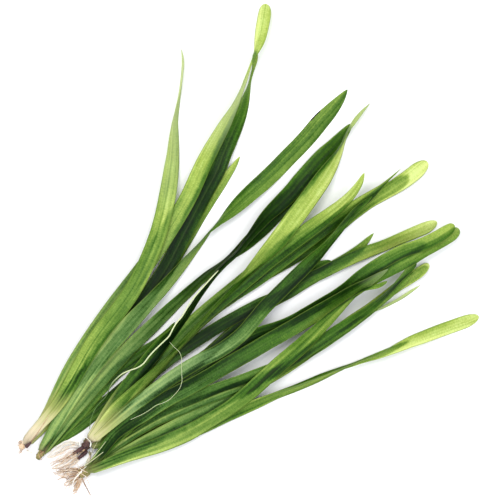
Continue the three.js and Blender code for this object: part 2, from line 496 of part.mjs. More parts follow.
CROWNS.forEach((one) => laid.add(crown(one)));
RUNNERS.forEach(({ name, path }) => laid.add(
  lay(name, path, ROOT_STEP, [], roundSize(RUNNER_DIAMETER), ROOT_SINK, PALE)));
STUBS.forEach(({ name, diameter, path }) => laid.add(
  lay(name, path, ROOT_STEP, [], roundSize(diameter), ROOT_SINK, STUB_BROWN)));
LEAVES.forEach(({ name, width, tip, path }) => {
  const green = name.includes('dark') ? LEAF_DARK : LEAF_GREEN;
  laid.add(lay(name, path, LEAF_STEP, TIP_STEPS, leafSize(width, tip), LEAF_SINK, green));
});
laid.add(lay(BUD.name, BUD.path, ROOT_STEP, [], roundSize(BUD.diameter), ROOT_SINK, STUB_BROWN));
LOCKS.forEach(({ name, width, path }) => laid.add(
  lay(name, path, ROOT_STEP, [], lockSize(width), ROOT_SINK, ROOT_TAN)));
ROOTS.forEach(({ name, diameter, path }) => laid.add(
  lay(name, path, ROOT_STEP, [], roundSize(diameter), ROOT_SINK, ROOT_TAN)));
laid.add(lay(STALK.name, STALK.path, 2 * ROOT_STEP, [], roundSize(STALK_DIAMETER), ROOT_SINK, PALE));
laid.add(lay(THREAD.name, THREAD.path, 2 * ROOT_STEP, [], roundSize(THREAD_DIAMETER), ROOT_SINK, PALE));

// The origin is the middle of the clump's box, on the surface.
const box = new THREE.Box3().setFromObject(laid);
const middle = box.getCenter(new THREE.Vector3());
laid.position.set(-middle.x, -middle.y, -box.min.z);

export default clump;
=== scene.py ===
"""Looks of a bare-root clump of vallisneria that lies on a flat surface, seen from straight above.

Each blade and stem, and each single root, is a surface carried along the stations of its own solid, so it
lies where the solid lies; the locks of fine roots are sprays of fibres between guide lines. Lengths are in
metres, and the constants in millimetres say so with their factor MM.
"""

import json
import math

import bpy
import numpy as np
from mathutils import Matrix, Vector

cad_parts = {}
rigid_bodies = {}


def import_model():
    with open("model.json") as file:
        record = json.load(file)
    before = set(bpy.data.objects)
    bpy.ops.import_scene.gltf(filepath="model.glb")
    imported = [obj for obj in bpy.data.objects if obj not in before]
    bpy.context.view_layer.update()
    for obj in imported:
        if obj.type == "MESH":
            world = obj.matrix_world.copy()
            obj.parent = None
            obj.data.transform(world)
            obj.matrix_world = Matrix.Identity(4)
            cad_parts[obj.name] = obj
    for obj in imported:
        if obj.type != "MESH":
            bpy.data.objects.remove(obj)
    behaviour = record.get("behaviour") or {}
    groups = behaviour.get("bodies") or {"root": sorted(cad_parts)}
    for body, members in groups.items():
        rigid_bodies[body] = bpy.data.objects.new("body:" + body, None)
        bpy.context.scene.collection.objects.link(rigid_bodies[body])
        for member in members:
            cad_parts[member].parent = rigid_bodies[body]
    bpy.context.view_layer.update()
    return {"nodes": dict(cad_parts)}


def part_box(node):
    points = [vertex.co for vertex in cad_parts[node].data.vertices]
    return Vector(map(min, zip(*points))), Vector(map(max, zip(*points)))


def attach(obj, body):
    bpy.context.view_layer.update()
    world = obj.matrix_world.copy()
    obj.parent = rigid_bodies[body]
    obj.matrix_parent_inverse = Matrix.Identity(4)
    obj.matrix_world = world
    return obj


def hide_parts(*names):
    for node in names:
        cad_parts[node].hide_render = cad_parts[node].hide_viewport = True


bl_info = {
    "name": "Bare-root vallisneria clump",
    "version": (1, 0, 0),
    "blender": (4, 5, 0),
    "location": "3D View > Sidebar > Clump",
    "description": "Dresses the solids of a bare-root vallisneria clump with leaves, crowns and roots",
    "category": "Object",
}

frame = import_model()

MM = 0.001
BODY = "root"

# Where the middle of the picture falls on the surface, beside the middle of the clump
VIEW_CENTRE = (0.78 * MM, 0.35 * MM)
VIEW_WIDTH = 400 * MM
VIEW_LENS = 270
VIEW_SENSOR = 36

# The tips of the blades, as the solids have them
STATION_BEFORE_TIP = 7 * MM
ROUND_TIP = 14 * MM
POINTED_TIP = 42 * MM
ROUND_TAPER = 0.5
SHARP_TAPER = 0.75
ROUND_SHARE = 0.65
LEAST_HALF_WIDTH = 0.06 * MM

# The grid of a blade, and the neck that joins it to its crown
ROW_STEP = 1.0 * MM
TIP_ROWS = 26
COLUMNS = 15
NECK_ROWS = 12
NECK_WIDTHS = {"1": 0.5, "2": 0.85, "3": 0.66, "4": 0.62}
NECK_PLACE = 0.2
WRAP_REACH = 14 * MM
MIDRIB_WIDTH = 0.05
MIDRIB_HEIGHT = 0.16 * MM

# The map in which blades are counted, for the painted shade where blades lie over others and the painted
# light where fewer do: its cell, how many cells it has each way, and the most blades counted
CELL = 0.5 * MM
CELLS = 880
MOST_LAYERS = 5
# The rows over which the count is evened out, and the least and most share of its tone that the painted shade
# and light of stacked blades leave
EVEN_ROWS = 61
LEAST_SHADE = 0.5
MOST_SHADE = 1.16
# The length of one wave of the painted side shade, which makes one edge of a blade lighter and the other
# darker
SIDE_SHADE_LENGTH = 170 * MM
# How many of its cells, each way, make one cell of the map of the highest blades and crowns
COARSE = 3

# How the surface of a blade is shaped across: where its cup is level, how much thinner its edges are, and
# where its rim starts and how wide it and the midrib's mark are, as shares of the half width
LEVEL_CUP = 0.35
EDGE_THINNING = 0.72
# The rim is painted light on dark blades and painted shade on light ones
RIM_START = 0.9
RIM_WIDTH = 0.08
MIDRIB_MARK = 0.07

# How far the blades and the other pieces stay above the surface
BLADE_CLEARANCE = 0.03 * MM
CLEARANCE = 0.02 * MM

# Seeds of the random draws, how many rows and sides the strands and crowns have, and the grain of the skin of
# crowns and stubs
LEAF_SEED = 4
CROWN_SEED = 20
ROOT_SEED = 11
SINGLE_ROOT_SEED = 40
FIBRE_ROWS = 34
GUIDE_ROWS = 60
LAID_ROWS = 60
STEM_ROWS = 90
SINGLE_ROOT_ROWS = 60
FIBRE_SIDES = 6
SMALL_SIDES = 8
CROWN_RINGS = 48
CROWN_SIDES = 56
SKIN_GRAIN = 900

# The stage: half the floor's width, and each lamp's place, size, power in watts and colour
FLOOR_HALF = 3.0
LAMPS = {
    "key_lamp": ((-0.46, 0.54, 1.9), 0.8, 18.5, (1.0, 0.99, 0.965)),
    "fill_lamp": ((0.55, -0.5, 1.9), 0.9, 11.5, (0.93, 0.95, 1.0)),
}
ROOM_COLOUR = (0.96, 0.97, 1.0, 1)

# Courses of light and dark along a blade, at four places from its crown to its tip: 0 is the darkest green, 1
# the palest. They are partly the blade's own green and partly painted light and shade: darker where blades
# lie stacked, paler where a single blade lets light through. They are rough descriptions in steps of 0.05,
# and each blade is given the one that suits it
TONE_PLACES = (0.08, 0.35, 0.7, 1.0)
LIGHT = (0.6, 0.5, 0.7, 0.9)
LIGHT_TIP = (0.55, 0.45, 0.45, 0.8)
BRIGHT_UPPER = (0.65, 0.4, 0.7, 0.65)
EVEN_GREEN = (0.6, 0.5, 0.45, 0.5)
DULL_GREEN = (0.45, 0.4, 0.3, 0.4)
DARK_UPPER = (0.55, 0.45, 0.2, 0.45)
DARK_ALONG = (0.5, 0.1, 0.15, 0.45)
DARK_MIDDLE = (0.55, 0.1, 0.15, 0.65)
DARK_LOWER = (0.55, 0.15, 0.35, 0.6)
DARK_TO_YELLOW = (0.5, 0.1, 0.35, 0.95)
SHADED_BASE = (0.3, 0.3, 0.4, 0.4)
SHADED_TO_LIGHT = (0.35, 0.2, 0.25, 0.65)
LEAF_COURSES = {
    "plant_1_leaf_": {
        "lime": LIGHT, "wide": LIGHT, "dark": DARK_MIDDLE, "short": LIGHT_TIP,
    },
    "plant_2_leaf_": {
        "long": EVEN_GREEN, "under": DARK_UPPER, "short": DULL_GREEN, "low": DULL_GREEN,
    },
    "plant_3_leaf_": {
        "first": DARK_ALONG, "bright": BRIGHT_UPPER, "long": LIGHT_TIP, "dark": DARK_LOWER,
        "yellow": DARK_TO_YELLOW, "twin": DARK_LOWER, "glossy": DARK_UPPER, "far": DARK_TO_YELLOW,
        "mid": DARK_MIDDLE, "round": DARK_ALONG, "short": LIGHT_TIP, "low": DULL_GREEN,
    },
    "plant_4_leaf_": {
        "far_a": SHADED_TO_LIGHT, "far_b": SHADED_TO_LIGHT, "side": SHADED_BASE, "narrow": SHADED_TO_LIGHT,
        "green": SHADED_BASE, "top": EVEN_GREEN, "dark_a": SHADED_BASE, "dark_b": EVEN_GREEN,
        "edge_a": LIGHT_TIP, "edge_b": LIGHT_TIP, "thin": LIGHT_TIP, "lone": LIGHT,
        "lone_small": EVEN_GREEN, "low_a": EVEN_GREEN, "low_b": EVEN_GREEN,
    },
}
LEAF_TONES = {
    plant + leaf: course for plant, leaves in LEAF_COURSES.items() for leaf, course in leaves.items()
}

# The pale base of some blades, and of the other blades of each plant: how pale it is, and the reach at which
# it starts and ends to fade
BLANCHED = {
    "plant_1_leaf_lime": (1.0, 12 * MM, 66 * MM),
    "plant_1_leaf_wide": (0.95, 16 * MM, 68 * MM),
    "plant_3_leaf_low": (0.2, 4 * MM, 30 * MM),
    "plant_3_leaf_short": (0.3, 4 * MM, 34 * MM),
    "1": (0.5, 6 * MM, 42 * MM),
    "2": (0.2, 4 * MM, 30 * MM),
    "3": (0.78, 8 * MM, 62 * MM),
    "4": (0.25, 4 * MM, 34 * MM),
}
# Blades with a painted bluish sheen, and how much of it shows on their lower part where they are light
SHEENED = {
    "plant_1_leaf_short": 0.35,
    "plant_1_leaf_wide": 0.35,
    "plant_2_leaf_long": 0.6,
    "plant_2_leaf_under": 0.5,
    "plant_3_leaf_glossy": 0.9,
    "plant_3_leaf_far": 0.3,
    "plant_4_leaf_top": 0.15,
    "plant_4_leaf_green": 0.35,
    "plant_4_leaf_edge_a": 0.35,
    "plant_4_leaf_edge_b": 0.35,
    "plant_4_leaf_dark_a": 0.35,
    "plant_4_leaf_dark_b": 0.35,
}
# The painted sheen of all other blades, and the share of the length where it ends and over which it fades
SHEEN_ELSEWHERE = 0.06
SHEEN_END = 0.62
SHEEN_FADE = 0.25
# How far from its crown a blade keeps its narrow folds, and the least that is left of them beyond
FOLD_REACH = 150 * MM
FOLD_LEAST = 0.3
# Blades with deeper folds than the others, by this factor
FOLDED = {
    "plant_1_leaf_lime": 1.3,
    "plant_2_leaf_long": 1.3,
    "plant_4_leaf_top": 1.9,
    "plant_4_leaf_low_a": 1.4,
}
# Blades that go pale towards the tip: how pale, and the shares of the length where it starts, is full and
# ends again, which is past the tip where it doesn't end
PAST_TIP = 2
FADED = {
    "plant_1_leaf_lime": (0.85, 0.6, 0.95, PAST_TIP),
    "plant_1_leaf_wide": (0.6, 0.66, 0.8, 0.87),
    "plant_4_leaf_thin": (0.6, 0.5, 0.95, PAST_TIP),
    "plant_3_leaf_bright": (0.55, 0.85, 1.0, PAST_TIP),
    "plant_4_leaf_green": (0.4, 0.9, 1.0, PAST_TIP),
}
# The purple-brown blush of each plant: how strong it is and how far it reaches from the crown
BLUSHED = {"1": (0.34, 15 * MM), "2": (0.35, 7 * MM), "3": (0.75, 11 * MM), "4": (0.25, 8 * MM)}

# The crowns: their heading in degrees, their length and their radius, how square their lower end is, and
# the share by which that end is narrower
CROWNS = {
    "crown_1": (52, 7 * MM, 2.8 * MM, 5, 0),
    "crown_2": (55, 9.5 * MM, 3.5 * MM, 8, 0.35),
    "crown_3": (58, 12 * MM, 4.3 * MM, 4, 0.12),
    "crown_4": (20, 10 * MM, 4.2 * MM, 5, 0),
}

# Sprays of roots between two guide lines: the solids that each stands for, its numbers and its guides. The
# numbers are how many fibres, least and most radius in mm, least and most kind (0 white, 1 dark brown),
# height in mm at the start, in the middle and at the end, and how far they wander in mm
SPRAYS = {
    "arch": (("root_lock_1", "root_arch"), (9, 0.28, 0.42, 0.0, 0.2, 3.8, 4.2, 0.8, 0.9), (
        [(-135.2, -153.3), (-140, -151.3), (-145.6, -150.5),
         (-152.8, -153.7), (-160, -159.3), (-165.6, -165.3)],
        [(-136, -157.3), (-141.6, -156.9), (-148, -159.7),
         (-153.6, -164.1), (-158.4, -167.7), (-161.6, -170.1)])),
    # The film is fine fibres under the arch, laid there partly as painted shade of the arch
    "film": ((), (18, 0.07, 0.14, 0.2, 0.6, 2.8, 1.6, 0.4, 2.4), (
        [(-136, -154.5), (-144, -152.5), (-153, -157), (-161, -164), (-166, -169)],
        [(-136, -164), (-143, -168), (-151, -172), (-159, -176), (-164, -178)])),
    "mass": (("root_lock_2",), (26, 0.14, 0.36, 0.0, 0.85, 3.2, 2.2, 0.4, 2.2), (
        [(-138.4, -159.7), (-146.4, -163.7), (-154.4, -168.5), (-161.6, -172.5)],
        [(-135.2, -167.7), (-140.8, -172.5), (-148, -176.5), (-157.6, -178.1)])),
    "fan": (("root_lock_3", "root_tan"), (24, 0.14, 0.36, 0.05, 1.0, 3.2, 2.0, 0.4, 3.2), (
        [(-134, -174.1), (-144.8, -174.5), (-152.8, -176.1), (-160.8, -175.7)],
        [(-134, -178.9), (-143.2, -182.9), (-149.6, -186.1), (-153.6, -188.5)])),
    "low": (("root_lock_4",), (22, 0.13, 0.36, 0.1, 0.95, 2.8, 1.6, 0.4, 2.5), (
        [(-134, -178.9), (-141.6, -182.1), (-146.4, -184.5), (-150.4, -187.7)],
        [(-133, -182.1), (-138.4, -186.1), (-142.4, -189.3), (-146.4, -192.5)])),
    "tail": (("root_lock_5",), (18, 0.16, 0.46, 0.25, 0.8, 2.6, 1.6, 0.5, 1.3), (
        [(-135, -179), (-138.4, -186.1), (-140.8, -190.9), (-143.2, -196.1)],
        [(-133, -181), (-135.2, -186.9), (-137.6, -191.7), (-140, -196.5)])),
    "tuft": ((), (26, 0.08, 0.26, 0.3, 0.8, 1.6, 1.6, 0.3, 0.9), (
        [(-180, -152.9), (-183.2, -151.6), (-186, -152.9)],
        [(-179.2, -158.1), (-182.4, -160.9), (-184.4, -163.5)])),
    "collar": ((), (18, 0.16, 0.36, 0.0, 0.9, 5.0, 4.0, 0.8, 1.8), (
        [(-128, -171), (-133.5, -170.5), (-139, -173), (-142, -177)],
        [(-128, -180), (-132, -184), (-135.5, -186.5), (-139, -188.5)])),
}

# Strands laid over the blades and crowns: radius at both ends in mm, kind at both ends, and the line
LAID = {
    "sheath_edge": ((0.34, 0.14), (0.9, 0.5), [
        (-174.4, -153.3), (-170, -147.3), (-164.6, -139.5), (-159.4, -130.7)]),
    "green_strand_a": ((0.34, 0.22), (0.12, 0.05), [
        (-132, -172.5), (-126.4, -168.5), (-120.8, -164.1), (-116, -160.5)]),
    "green_strand_b": ((0.3, 0.18), (0.3, 0.1), [
        (-130.4, -169.3), (-127.2, -164.5), (-124, -158.1), (-120.8, -152.5)]),
    "green_strand_c": ((0.3, 0.16), (0.1, 0.1), [
        (-131, -171), (-124.5, -165), (-119, -158.5), (-114, -152)]),
    "cross_strand_a": ((0.3, 0.25), (0.1, 0.2), [(-137.6, -170.9), (-133.6, -174.9), (-128.8, -177.3)]),
    "cross_strand_b": ((0.34, 0.25), (0.25, 0.1), [(-139.2, -179.7), (-133.6, -175.7), (-129.6, -172.1)]),
    "cross_strand_c": ((0.3, 0.3), (0.5, 0.15), [(-137.2, -176), (-133, -178.6), (-129.6, -181)]),
    "crown_2_strand": ((0.3, 0.26), (0.8, 0.65), [(-164.0, -160.5), (-167.2, -163.7), (-165.6, -167.7)]),
    "stub_strip": ((0.6, 0.5), (0.62, 0.5), [(-131.2, -158.9), (-135.2, -162.1), (-140, -166.1)]),
}


# The shape of the solids


def merged(node):
    """The corners of a solid without doubles, and its triangles as numbers of those corners."""
    mesh = frame["nodes"][node].data
    mesh.calc_loop_triangles()
    corners = np.empty(3 * len(mesh.vertices), np.float32)
    mesh.vertices.foreach_get("co", corners)
    triangles = np.empty(3 * len(mesh.loop_triangles), np.int32)
    mesh.loop_triangles.foreach_get("vertices", triangles)
    rounded = np.round(corners.reshape(-1, 3).astype(float), 5)
    points, number = np.unique(rounded, axis=0, return_inverse=True)
    return points, number.reshape(-1)[triangles].reshape(-1, 3)


def levels_from(seed, touch):
    """The corners in steps from a seed of four, or None where a step doesn't hold just four corners."""
    seen = np.zeros(len(touch), bool)
    seen[seed] = True
    level = seen.copy()
    levels = [seed]
    while not seen.all():
        level = touch[level].any(0) & ~seen
        found = np.flatnonzero(level)
        if len(found) != 4:
            return None
        levels.append(found)
        seen |= level
    return levels


def rings_of(node):
    """The four-cornered rings of a strand, from its end beside a crown to its far end: rings x 4 x 3.

    An end of the strand is a pair of triangles from which the corners follow each other in fours."""
    points, triangles = merged(node)
    touch = np.zeros((len(points), len(points)), bool)
    for a, b in ((0, 1), (1, 2), (2, 0)):
        touch[triangles[:, a], triangles[:, b]] = True
        touch[triangles[:, b], triangles[:, a]] = True
    shared = (triangles[:, None, :, None] == triangles[None, :, None, :]).any(3).sum(2)
    for first, second in np.argwhere(np.triu(shared == 2, 1)):
        seed = np.union1d(triangles[first], triangles[second])
        levels = levels_from(seed, touch)
        if levels is not None:
            rings = points[np.array(levels)]
            ends = rings[[0, -1]].mean(1)
            away = np.linalg.norm(ends[:, None] - crown_centres()[None], axis=2).min(1)
            return rings if away[0] < away[1] else rings[::-1]
    raise RuntimeError(f"{node} isn't a strand of four-cornered rings")


def crown_centres():
    """The middle of each crown's box."""
    return np.array([(np.array(low) + np.array(high)) / 2 for low, high in map(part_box, CROWNS)])


def heading_of(node):
    """The level unit vectors along a crown and to its left."""
    turn = math.radians(CROWNS[node][0])
    return np.array([math.cos(turn), math.sin(turn), 0]), np.array([-math.sin(turn), math.cos(turn), 0])


def unit(vectors):
    """Vectors over their own lengths."""
    return vectors / np.maximum(np.linalg.norm(vectors, axis=-1, keepdims=True), 1e-12)


def stations_of(node):
    """Stations along a strand: distance from the base, centre, unit vector across, and half width.

    The vector across is the longer side of each ring, to the left of the strand at the base, and it
    keeps its sense from ring to ring."""
    rings = rings_of(node)
    centre = rings.mean(1)
    arms = rings[:, 1:] - rings[:, :1]
    order = np.argsort(np.linalg.norm(arms, axis=2), axis=1)
    broad = np.take_along_axis(arms, order[:, 1, None, None], 1)[:, 0]
    half = np.linalg.norm(broad, axis=1) / 2
    across = unit(broad)
    ahead = np.gradient(centre, axis=0)
    left = np.cross([0, 0, 1], ahead[0])
    sense = np.empty(len(across))
    sense[0] = np.sign(across[0] @ left) or 1
    for k in range(1, len(across)):
        sense[k] = sense[k - 1] * (np.sign(across[k] @ across[k - 1]) or 1)
    across = across * sense[:, None]
    run = np.concatenate([[0], np.cumsum(np.linalg.norm(np.diff(centre, axis=0), axis=1))])
    return run, centre, across, half


def smooth(run, values, places):
    """Values between stations: cubic curves that pass through each station with its mean slope."""
    slopes = np.gradient(values, run, axis=0)
    k = np.clip(np.searchsorted(run, places, side="right") - 1, 0, len(run) - 2)
    span = run[k + 1] - run[k]
    share = (places - run[k]) / span
    if values.ndim > 1:
        span = span[:, None]
        share = share[:, None]
    return cubic(values[k], slopes[k] * span, values[k + 1], slopes[k + 1] * span, share)


def cubic(start, leaving, end, arriving, share):
    """The cubic curve with the given ends and slopes at the ends, at a share from 0 to 1."""
    square = share ** 2
    cube = share ** 3
    return (start * (2 * cube - 3 * square + 1) + end * (3 * square - 2 * cube)
            + leaving * (cube - 2 * square + share) + arriving * (cube - square))


def line_through(points, rows):
    """Rows of points evenly spread along the smooth line through the given points."""
    points = np.array(points, float) * MM
    run = np.concatenate([[0], np.cumsum(np.linalg.norm(np.diff(points, axis=0), axis=1))])
    return smooth(run, points, np.linspace(0, run[-1], rows))


# Meshes


def add_piece(name, points, faces, material, nodes=(), marks=None, uv=None):
    """A smooth mesh object from arrays that rides on the clump and stands for the named solids.

    marks holds one number for each point under each name, and uv holds two."""
    mesh = bpy.data.meshes.new(name)
    mesh.from_pydata(points, [], faces)
    mesh.polygons.foreach_set("use_smooth", np.ones(len(mesh.polygons), bool))
    for mark, numbers in (marks or {}).items():
        layer = mesh.attributes.new(mark, "FLOAT", "POINT")
        layer.data.foreach_set("value", np.asarray(numbers, np.float32).ravel())
    if uv is not None:
        corners = np.empty(len(mesh.loops), np.int32)
        mesh.loops.foreach_get("vertex_index", corners)
        layer = mesh.uv_layers.new(name="UVMap")
        layer.data.foreach_set("uv", np.asarray(uv, np.float32)[corners].ravel())
    mesh.materials.append(material)
    mesh.validate()
    mesh.update()
    piece = bpy.data.objects.new(name, mesh)
    bpy.context.scene.collection.objects.link(piece)
    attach(piece, BODY)
    if nodes:
        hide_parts(*nodes)
    return piece


def skin(rows, sides):
    """Faces of a surface of rows x sides points that closes on itself around each row.

    Each face runs along the path first and then around it."""
    row, side = np.meshgrid(np.arange(rows - 1), np.arange(sides), indexing="ij")
    beside = (side + 1) % sides
    faces = np.stack([
        row * sides + side, (row + 1) * sides + side, (row + 1) * sides + beside, row * sides + beside,
    ], -1)
    return faces.reshape(-1, 4)


def flat_caps(rows, columns):
    """Faces that close both ends of a ribbon whose rows go across its top and back across its underside."""
    top = np.arange(columns - 1)
    under = 2 * columns - 1 - top
    base = np.stack([top, top + 1, under - 1, under], -1)
    tip = base[:, ::-1] + (rows - 1) * 2 * columns
    return np.concatenate([base, tip])


def tubes(paths, radii, sides=6):
    """Points and faces of round closed strands. paths is strands x rows x 3, radii is strands x rows.

    Each ring is the centre plus the radius times (cos a across + sin a up), where across is level and up
    is square to it and to the path. The ends are closed by quads."""
    strands, rows = radii.shape
    ahead = unit(np.gradient(paths, axis=1))
    across = unit(np.cross([0.0, 0.0, 1.0], ahead) + [1e-9, 0, 0])
    up = np.cross(ahead, across)
    angle = np.linspace(0, 2 * math.pi, sides, endpoint=False)
    ring = np.cos(angle)[:, None] * across[:, :, None] + np.sin(angle)[:, None] * up[:, :, None]
    points = paths[:, :, None] + radii[:, :, None, None] * ring
    one = skin(rows, sides)[:, ::-1]
    last = (rows - 1) * sides
    fan = np.array([[0, 2 * k + 3, 2 * k + 2, 2 * k + 1] for k in range(sides // 2 - 1)])
    one = np.concatenate([one, fan[:, ::-1] + last, fan])
    offset = np.arange(strands)[:, None, None] * rows * sides
    return points.reshape(-1, 3), (one[None] + offset).reshape(-1, 4)


def lumps(u, v, seed, waves=6, low=1, high=5):
    """A gentle lumpy field between about -1 and 1: a mean of sine waves of two angles with fixed phases."""
    draw = np.random.default_rng(seed)
    field = np.zeros(np.broadcast(u, v).shape)
    for _ in range(waves):
        m, n = draw.integers(low, high, 2)
        phase = draw.uniform(0, 2 * math.pi, 2)
        field += np.sin(m * u + phase[0]) * np.cos(n * v + phase[1])
    return field / math.sqrt(waves)


# Materials


def new_material(name):
    """An empty node material, with its output node."""
    material = bpy.data.materials.new(name)
    material.use_nodes = True
    tree = material.node_tree
    tree.nodes.clear()
    output = tree.nodes.new("ShaderNodeOutputMaterial")
    return material, tree, output


def add_node(tree, kind, inputs=None, **settings):
    """A node with its settings. Each input is a value, or an output socket of another node."""
    node = tree.nodes.new(kind)
    for key, value in settings.items():
        setattr(node, key, value)
    for key, value in (inputs or {}).items():
        if isinstance(value, bpy.types.NodeSocket):
            tree.links.new(value, node.inputs[key])
        else:
            node.inputs[key].default_value = value
    return node


def mark(tree, name):
    """The number that a mesh holds under a name."""
    return add_node(tree, "ShaderNodeAttribute", attribute_name=name).outputs["Fac"]


def sum_of(tree, first, second, clamp=False):
    """Two fields added, and held between 0 and 1 on request."""
    node = add_node(tree, "ShaderNodeMath", {0: first, 1: second}, operation="ADD", use_clamp=clamp)
    return node.outputs[0]


def product_of(tree, first, second):
    """Two fields multiplied."""
    return add_node(tree, "ShaderNodeMath", {0: first, 1: second}, operation="MULTIPLY").outputs[0]


def blend_of(tree, share, first, colour, kind="MIX"):
    """A colour field taken by a share towards a plain colour of three values."""
    node = add_node(tree, "ShaderNodeMix", {"Factor": share, 6: first, 7: (*colour, 1)},
                    data_type="RGBA", blend_type=kind)
    return node.outputs[2]


def ramp_of(tree, share, stops):
    """A colour ramp with stops of (place, colour)."""
    node = add_node(tree, "ShaderNodeValToRGB", {"Fac": share})
    elements = node.color_ramp.elements
    while len(elements) < len(stops):
        elements.new(0.5)
    for element, (place, colour) in zip(elements, stops):
        element.position = place
        element.color = (*colour[:3], 1)
    return node.outputs["Color"]


def stretched(tree, scale, source=None, offset=(0, 0, 0)):
    """The piece's own coordinates, scaled."""
    if source is None:
        source = add_node(tree, "ShaderNodeTexCoord").outputs["Object"]
    node = add_node(tree, "ShaderNodeMapping", {"Vector": source, "Scale": scale, "Location": offset})
    return node.outputs["Vector"]


def noise_of(tree, vector, scale=1.0, detail=3.0, rough=0.5):
    """A noise field between 0 and 1."""
    node = add_node(tree, "ShaderNodeTexNoise",
                    {"Vector": vector, "Scale": scale, "Detail": detail, "Roughness": rough})
    return node.outputs["Fac"]


def levels_of(tree, field, low, high, to_low=0.0, to_high=1.0):
    """A field taken from one range to another."""
    node = add_node(tree, "ShaderNodeMapRange", {
        "Value": field, "From Min": low, "From Max": high, "To Min": to_low, "To Max": to_high})
    return node.outputs["Result"]


def bump_of(tree, height, distance, strength=1.0):
    """A surface normal from a height field."""
    node = add_node(tree, "ShaderNodeBump", {"Height": height, "Distance": distance, "Strength": strength})
    return node.outputs["Normal"]


def surface_of(tree, output, inputs):
    """A surface with the given inputs, joined to the output."""
    surface = add_node(tree, "ShaderNodeBsdfPrincipled", inputs)
    tree.links.new(surface.outputs[0], output.inputs["Surface"])


def leaf_material(colours):
    """A moist ribbon leaf.

    The tone of each point picks its green; its darkest green is painted shade where blades lie stacked, and
    its palest greens are partly painted light that comes through single blades. Broad and fine streaks along
    the blade, patches and a fine mottling vary it, narrow folds near the base add painted shade in their
    creases and painted light on their ridges, and light parts and some patches have a painted bluish sheen.
    The base goes over pale green to cream with a purple-brown blush, the rim is a thin line of middle green,
    painted light on dark blades and painted shade on light ones, and some light comes through the blade."""
    material, tree, output = new_material("leaf_blade")
    uv = add_node(tree, "ShaderNodeUVMap", uv_map="UVMap").outputs["UV"]
    fine = noise_of(tree, stretched(tree, (16, 1500, 1), uv), detail=4, rough=0.6)
    broad = noise_of(tree, stretched(tree, (8, 330, 1), uv), detail=3)
    patches = noise_of(tree, stretched(tree, (70, 160, 1), uv), detail=3)
    mottle = noise_of(tree, stretched(tree, (900, 1000, 1), uv), detail=3, rough=0.6)
    net = noise_of(tree, stretched(tree, (1500, 260, 1), uv), detail=2)
    veins = add_node(tree, "ShaderNodeTexWave", {
        "Vector": stretched(tree, (40, 1000, 1), uv), "Scale": 0.072, "Distortion": 1.2, "Detail": 1.0},
        bands_direction="Y").outputs["Fac"]
    tone = mark(tree, "tone")
    fields = ((fine, 0.05), (broad, 0.04), (patches, 0.06), (mottle, 0.07), (net, 0.065))
    for field, reach in fields:
        tone = sum_of(tree, tone, levels_of(tree, field, 0.28, 0.72, -reach, reach))
    tone = sum_of(tree, tone, levels_of(tree, veins, 0.7, 1.0, 0, -0.05))
    # Narrow folds: their depth bumps the surface, and the same field darkens the tone in the creases and
    # lightens it on the ridges as painted shade and light
    folds = noise_of(tree, stretched(tree, (5, 430, 1), uv, (3, 7, 0)), detail=2, rough=0.4)
    fold_depth_shade = product_of(tree, levels_of(tree, folds, 0.36, 0.62, -0.2, 0.13), mark(tree, "folds"))
    tone = sum_of(tree, tone, fold_depth_shade, clamp=True)
    # The darkest stop is painted shade of stacked blades; the light, lime and pale lime stops are partly
    # painted light that comes through single blades
    green = ramp_of(tree, tone, [
        (0.0, colours.leaf_stacked_shade), (0.18, colours.leaf_dark), (0.38, colours.leaf_green),
        (0.57, colours.leaf_light), (0.77, colours.leaf_lime), (1.0, colours.leaf_tip_glow)])
    # Bluish patches: a painted sheen, multiplied into the green
    sheened = blend_of(tree, levels_of(tree, patches, 0.45, 0.75, 0, 0.3), green, colours.leaf_sheen_tint, "MULTIPLY")
    # Painted bluish sheen on the light parts of a blade
    sheen_share = product_of(tree, mark(tree, "sheen"), levels_of(tree, tone, 0.22, 0.6, 0, 0.42))
    sheened = blend_of(tree, sheen_share, sheened, colours.leaf_sheen)
    faded = product_of(tree, mark(tree, "faded"), levels_of(tree, broad, 0.25, 0.6, 0.55, 1.0))
    sheened = blend_of(tree, faded, sheened, colours.leaf_faded)
    blanch = sum_of(tree, mark(tree, "blanch"), levels_of(tree, broad, 0.3, 0.7, -0.12, 0.12))
    pale = blend_of(tree, levels_of(tree, blanch, 0.13, 0.6), sheened, colours.leaf_pale)
    cream = blend_of(tree, levels_of(tree, blanch, 0.42, 0.95), pale, colours.leaf_cream)
    base_share = levels_of(tree, blanch, 0.14, 0.4)
    lines = product_of(tree, levels_of(tree, fine, 0.5, 0.7, 0, 0.7), base_share)
    lined = blend_of(tree, lines, cream, colours.leaf_line)
    blushed = blend_of(tree, mark(tree, "blush"), lined, colours.leaf_blush)
    ribbed = blend_of(tree, product_of(tree, mark(tree, "midrib"), 0.07), blushed, colours.leaf_vein)
    # Painted rim: a lighter edge on dark blades where light comes through, a shaded outline on light ones
    colour = blend_of(tree, levels_of(tree, mark(tree, "rim"), 0, 1, 0, 0.75), ribbed, colours.leaf_rim_light_shade)
    height = sum_of(tree, product_of(tree, fine, 0.5), broad)
    for field, depth in ((mottle, 0.25), (veins, 0.35), (fold_depth_shade, 4.0)):
        height = sum_of(tree, height, product_of(tree, field, depth))
    normal = bump_of(tree, height, 0.3 * MM, 0.7)
    surface = add_node(tree, "ShaderNodeBsdfPrincipled", {
        "Base Color": colour, "Roughness": levels_of(tree, patches, 0.3, 0.7, 0.27, 0.4), "Normal": normal,
        "IOR": 1.45, "Specular IOR Level": 0.09})
    through_colour = blend_of(tree, 0.35, colour, colours.leaf_through)
    through = add_node(tree, "ShaderNodeBsdfTranslucent", {"Color": through_colour, "Normal": normal})
    both = add_node(tree, "ShaderNodeMixShader", {
        0: 0.22, 1: surface.outputs[0], 2: through.outputs[0]})
    tree.links.new(both.outputs[0], output.inputs["Surface"])
    return material


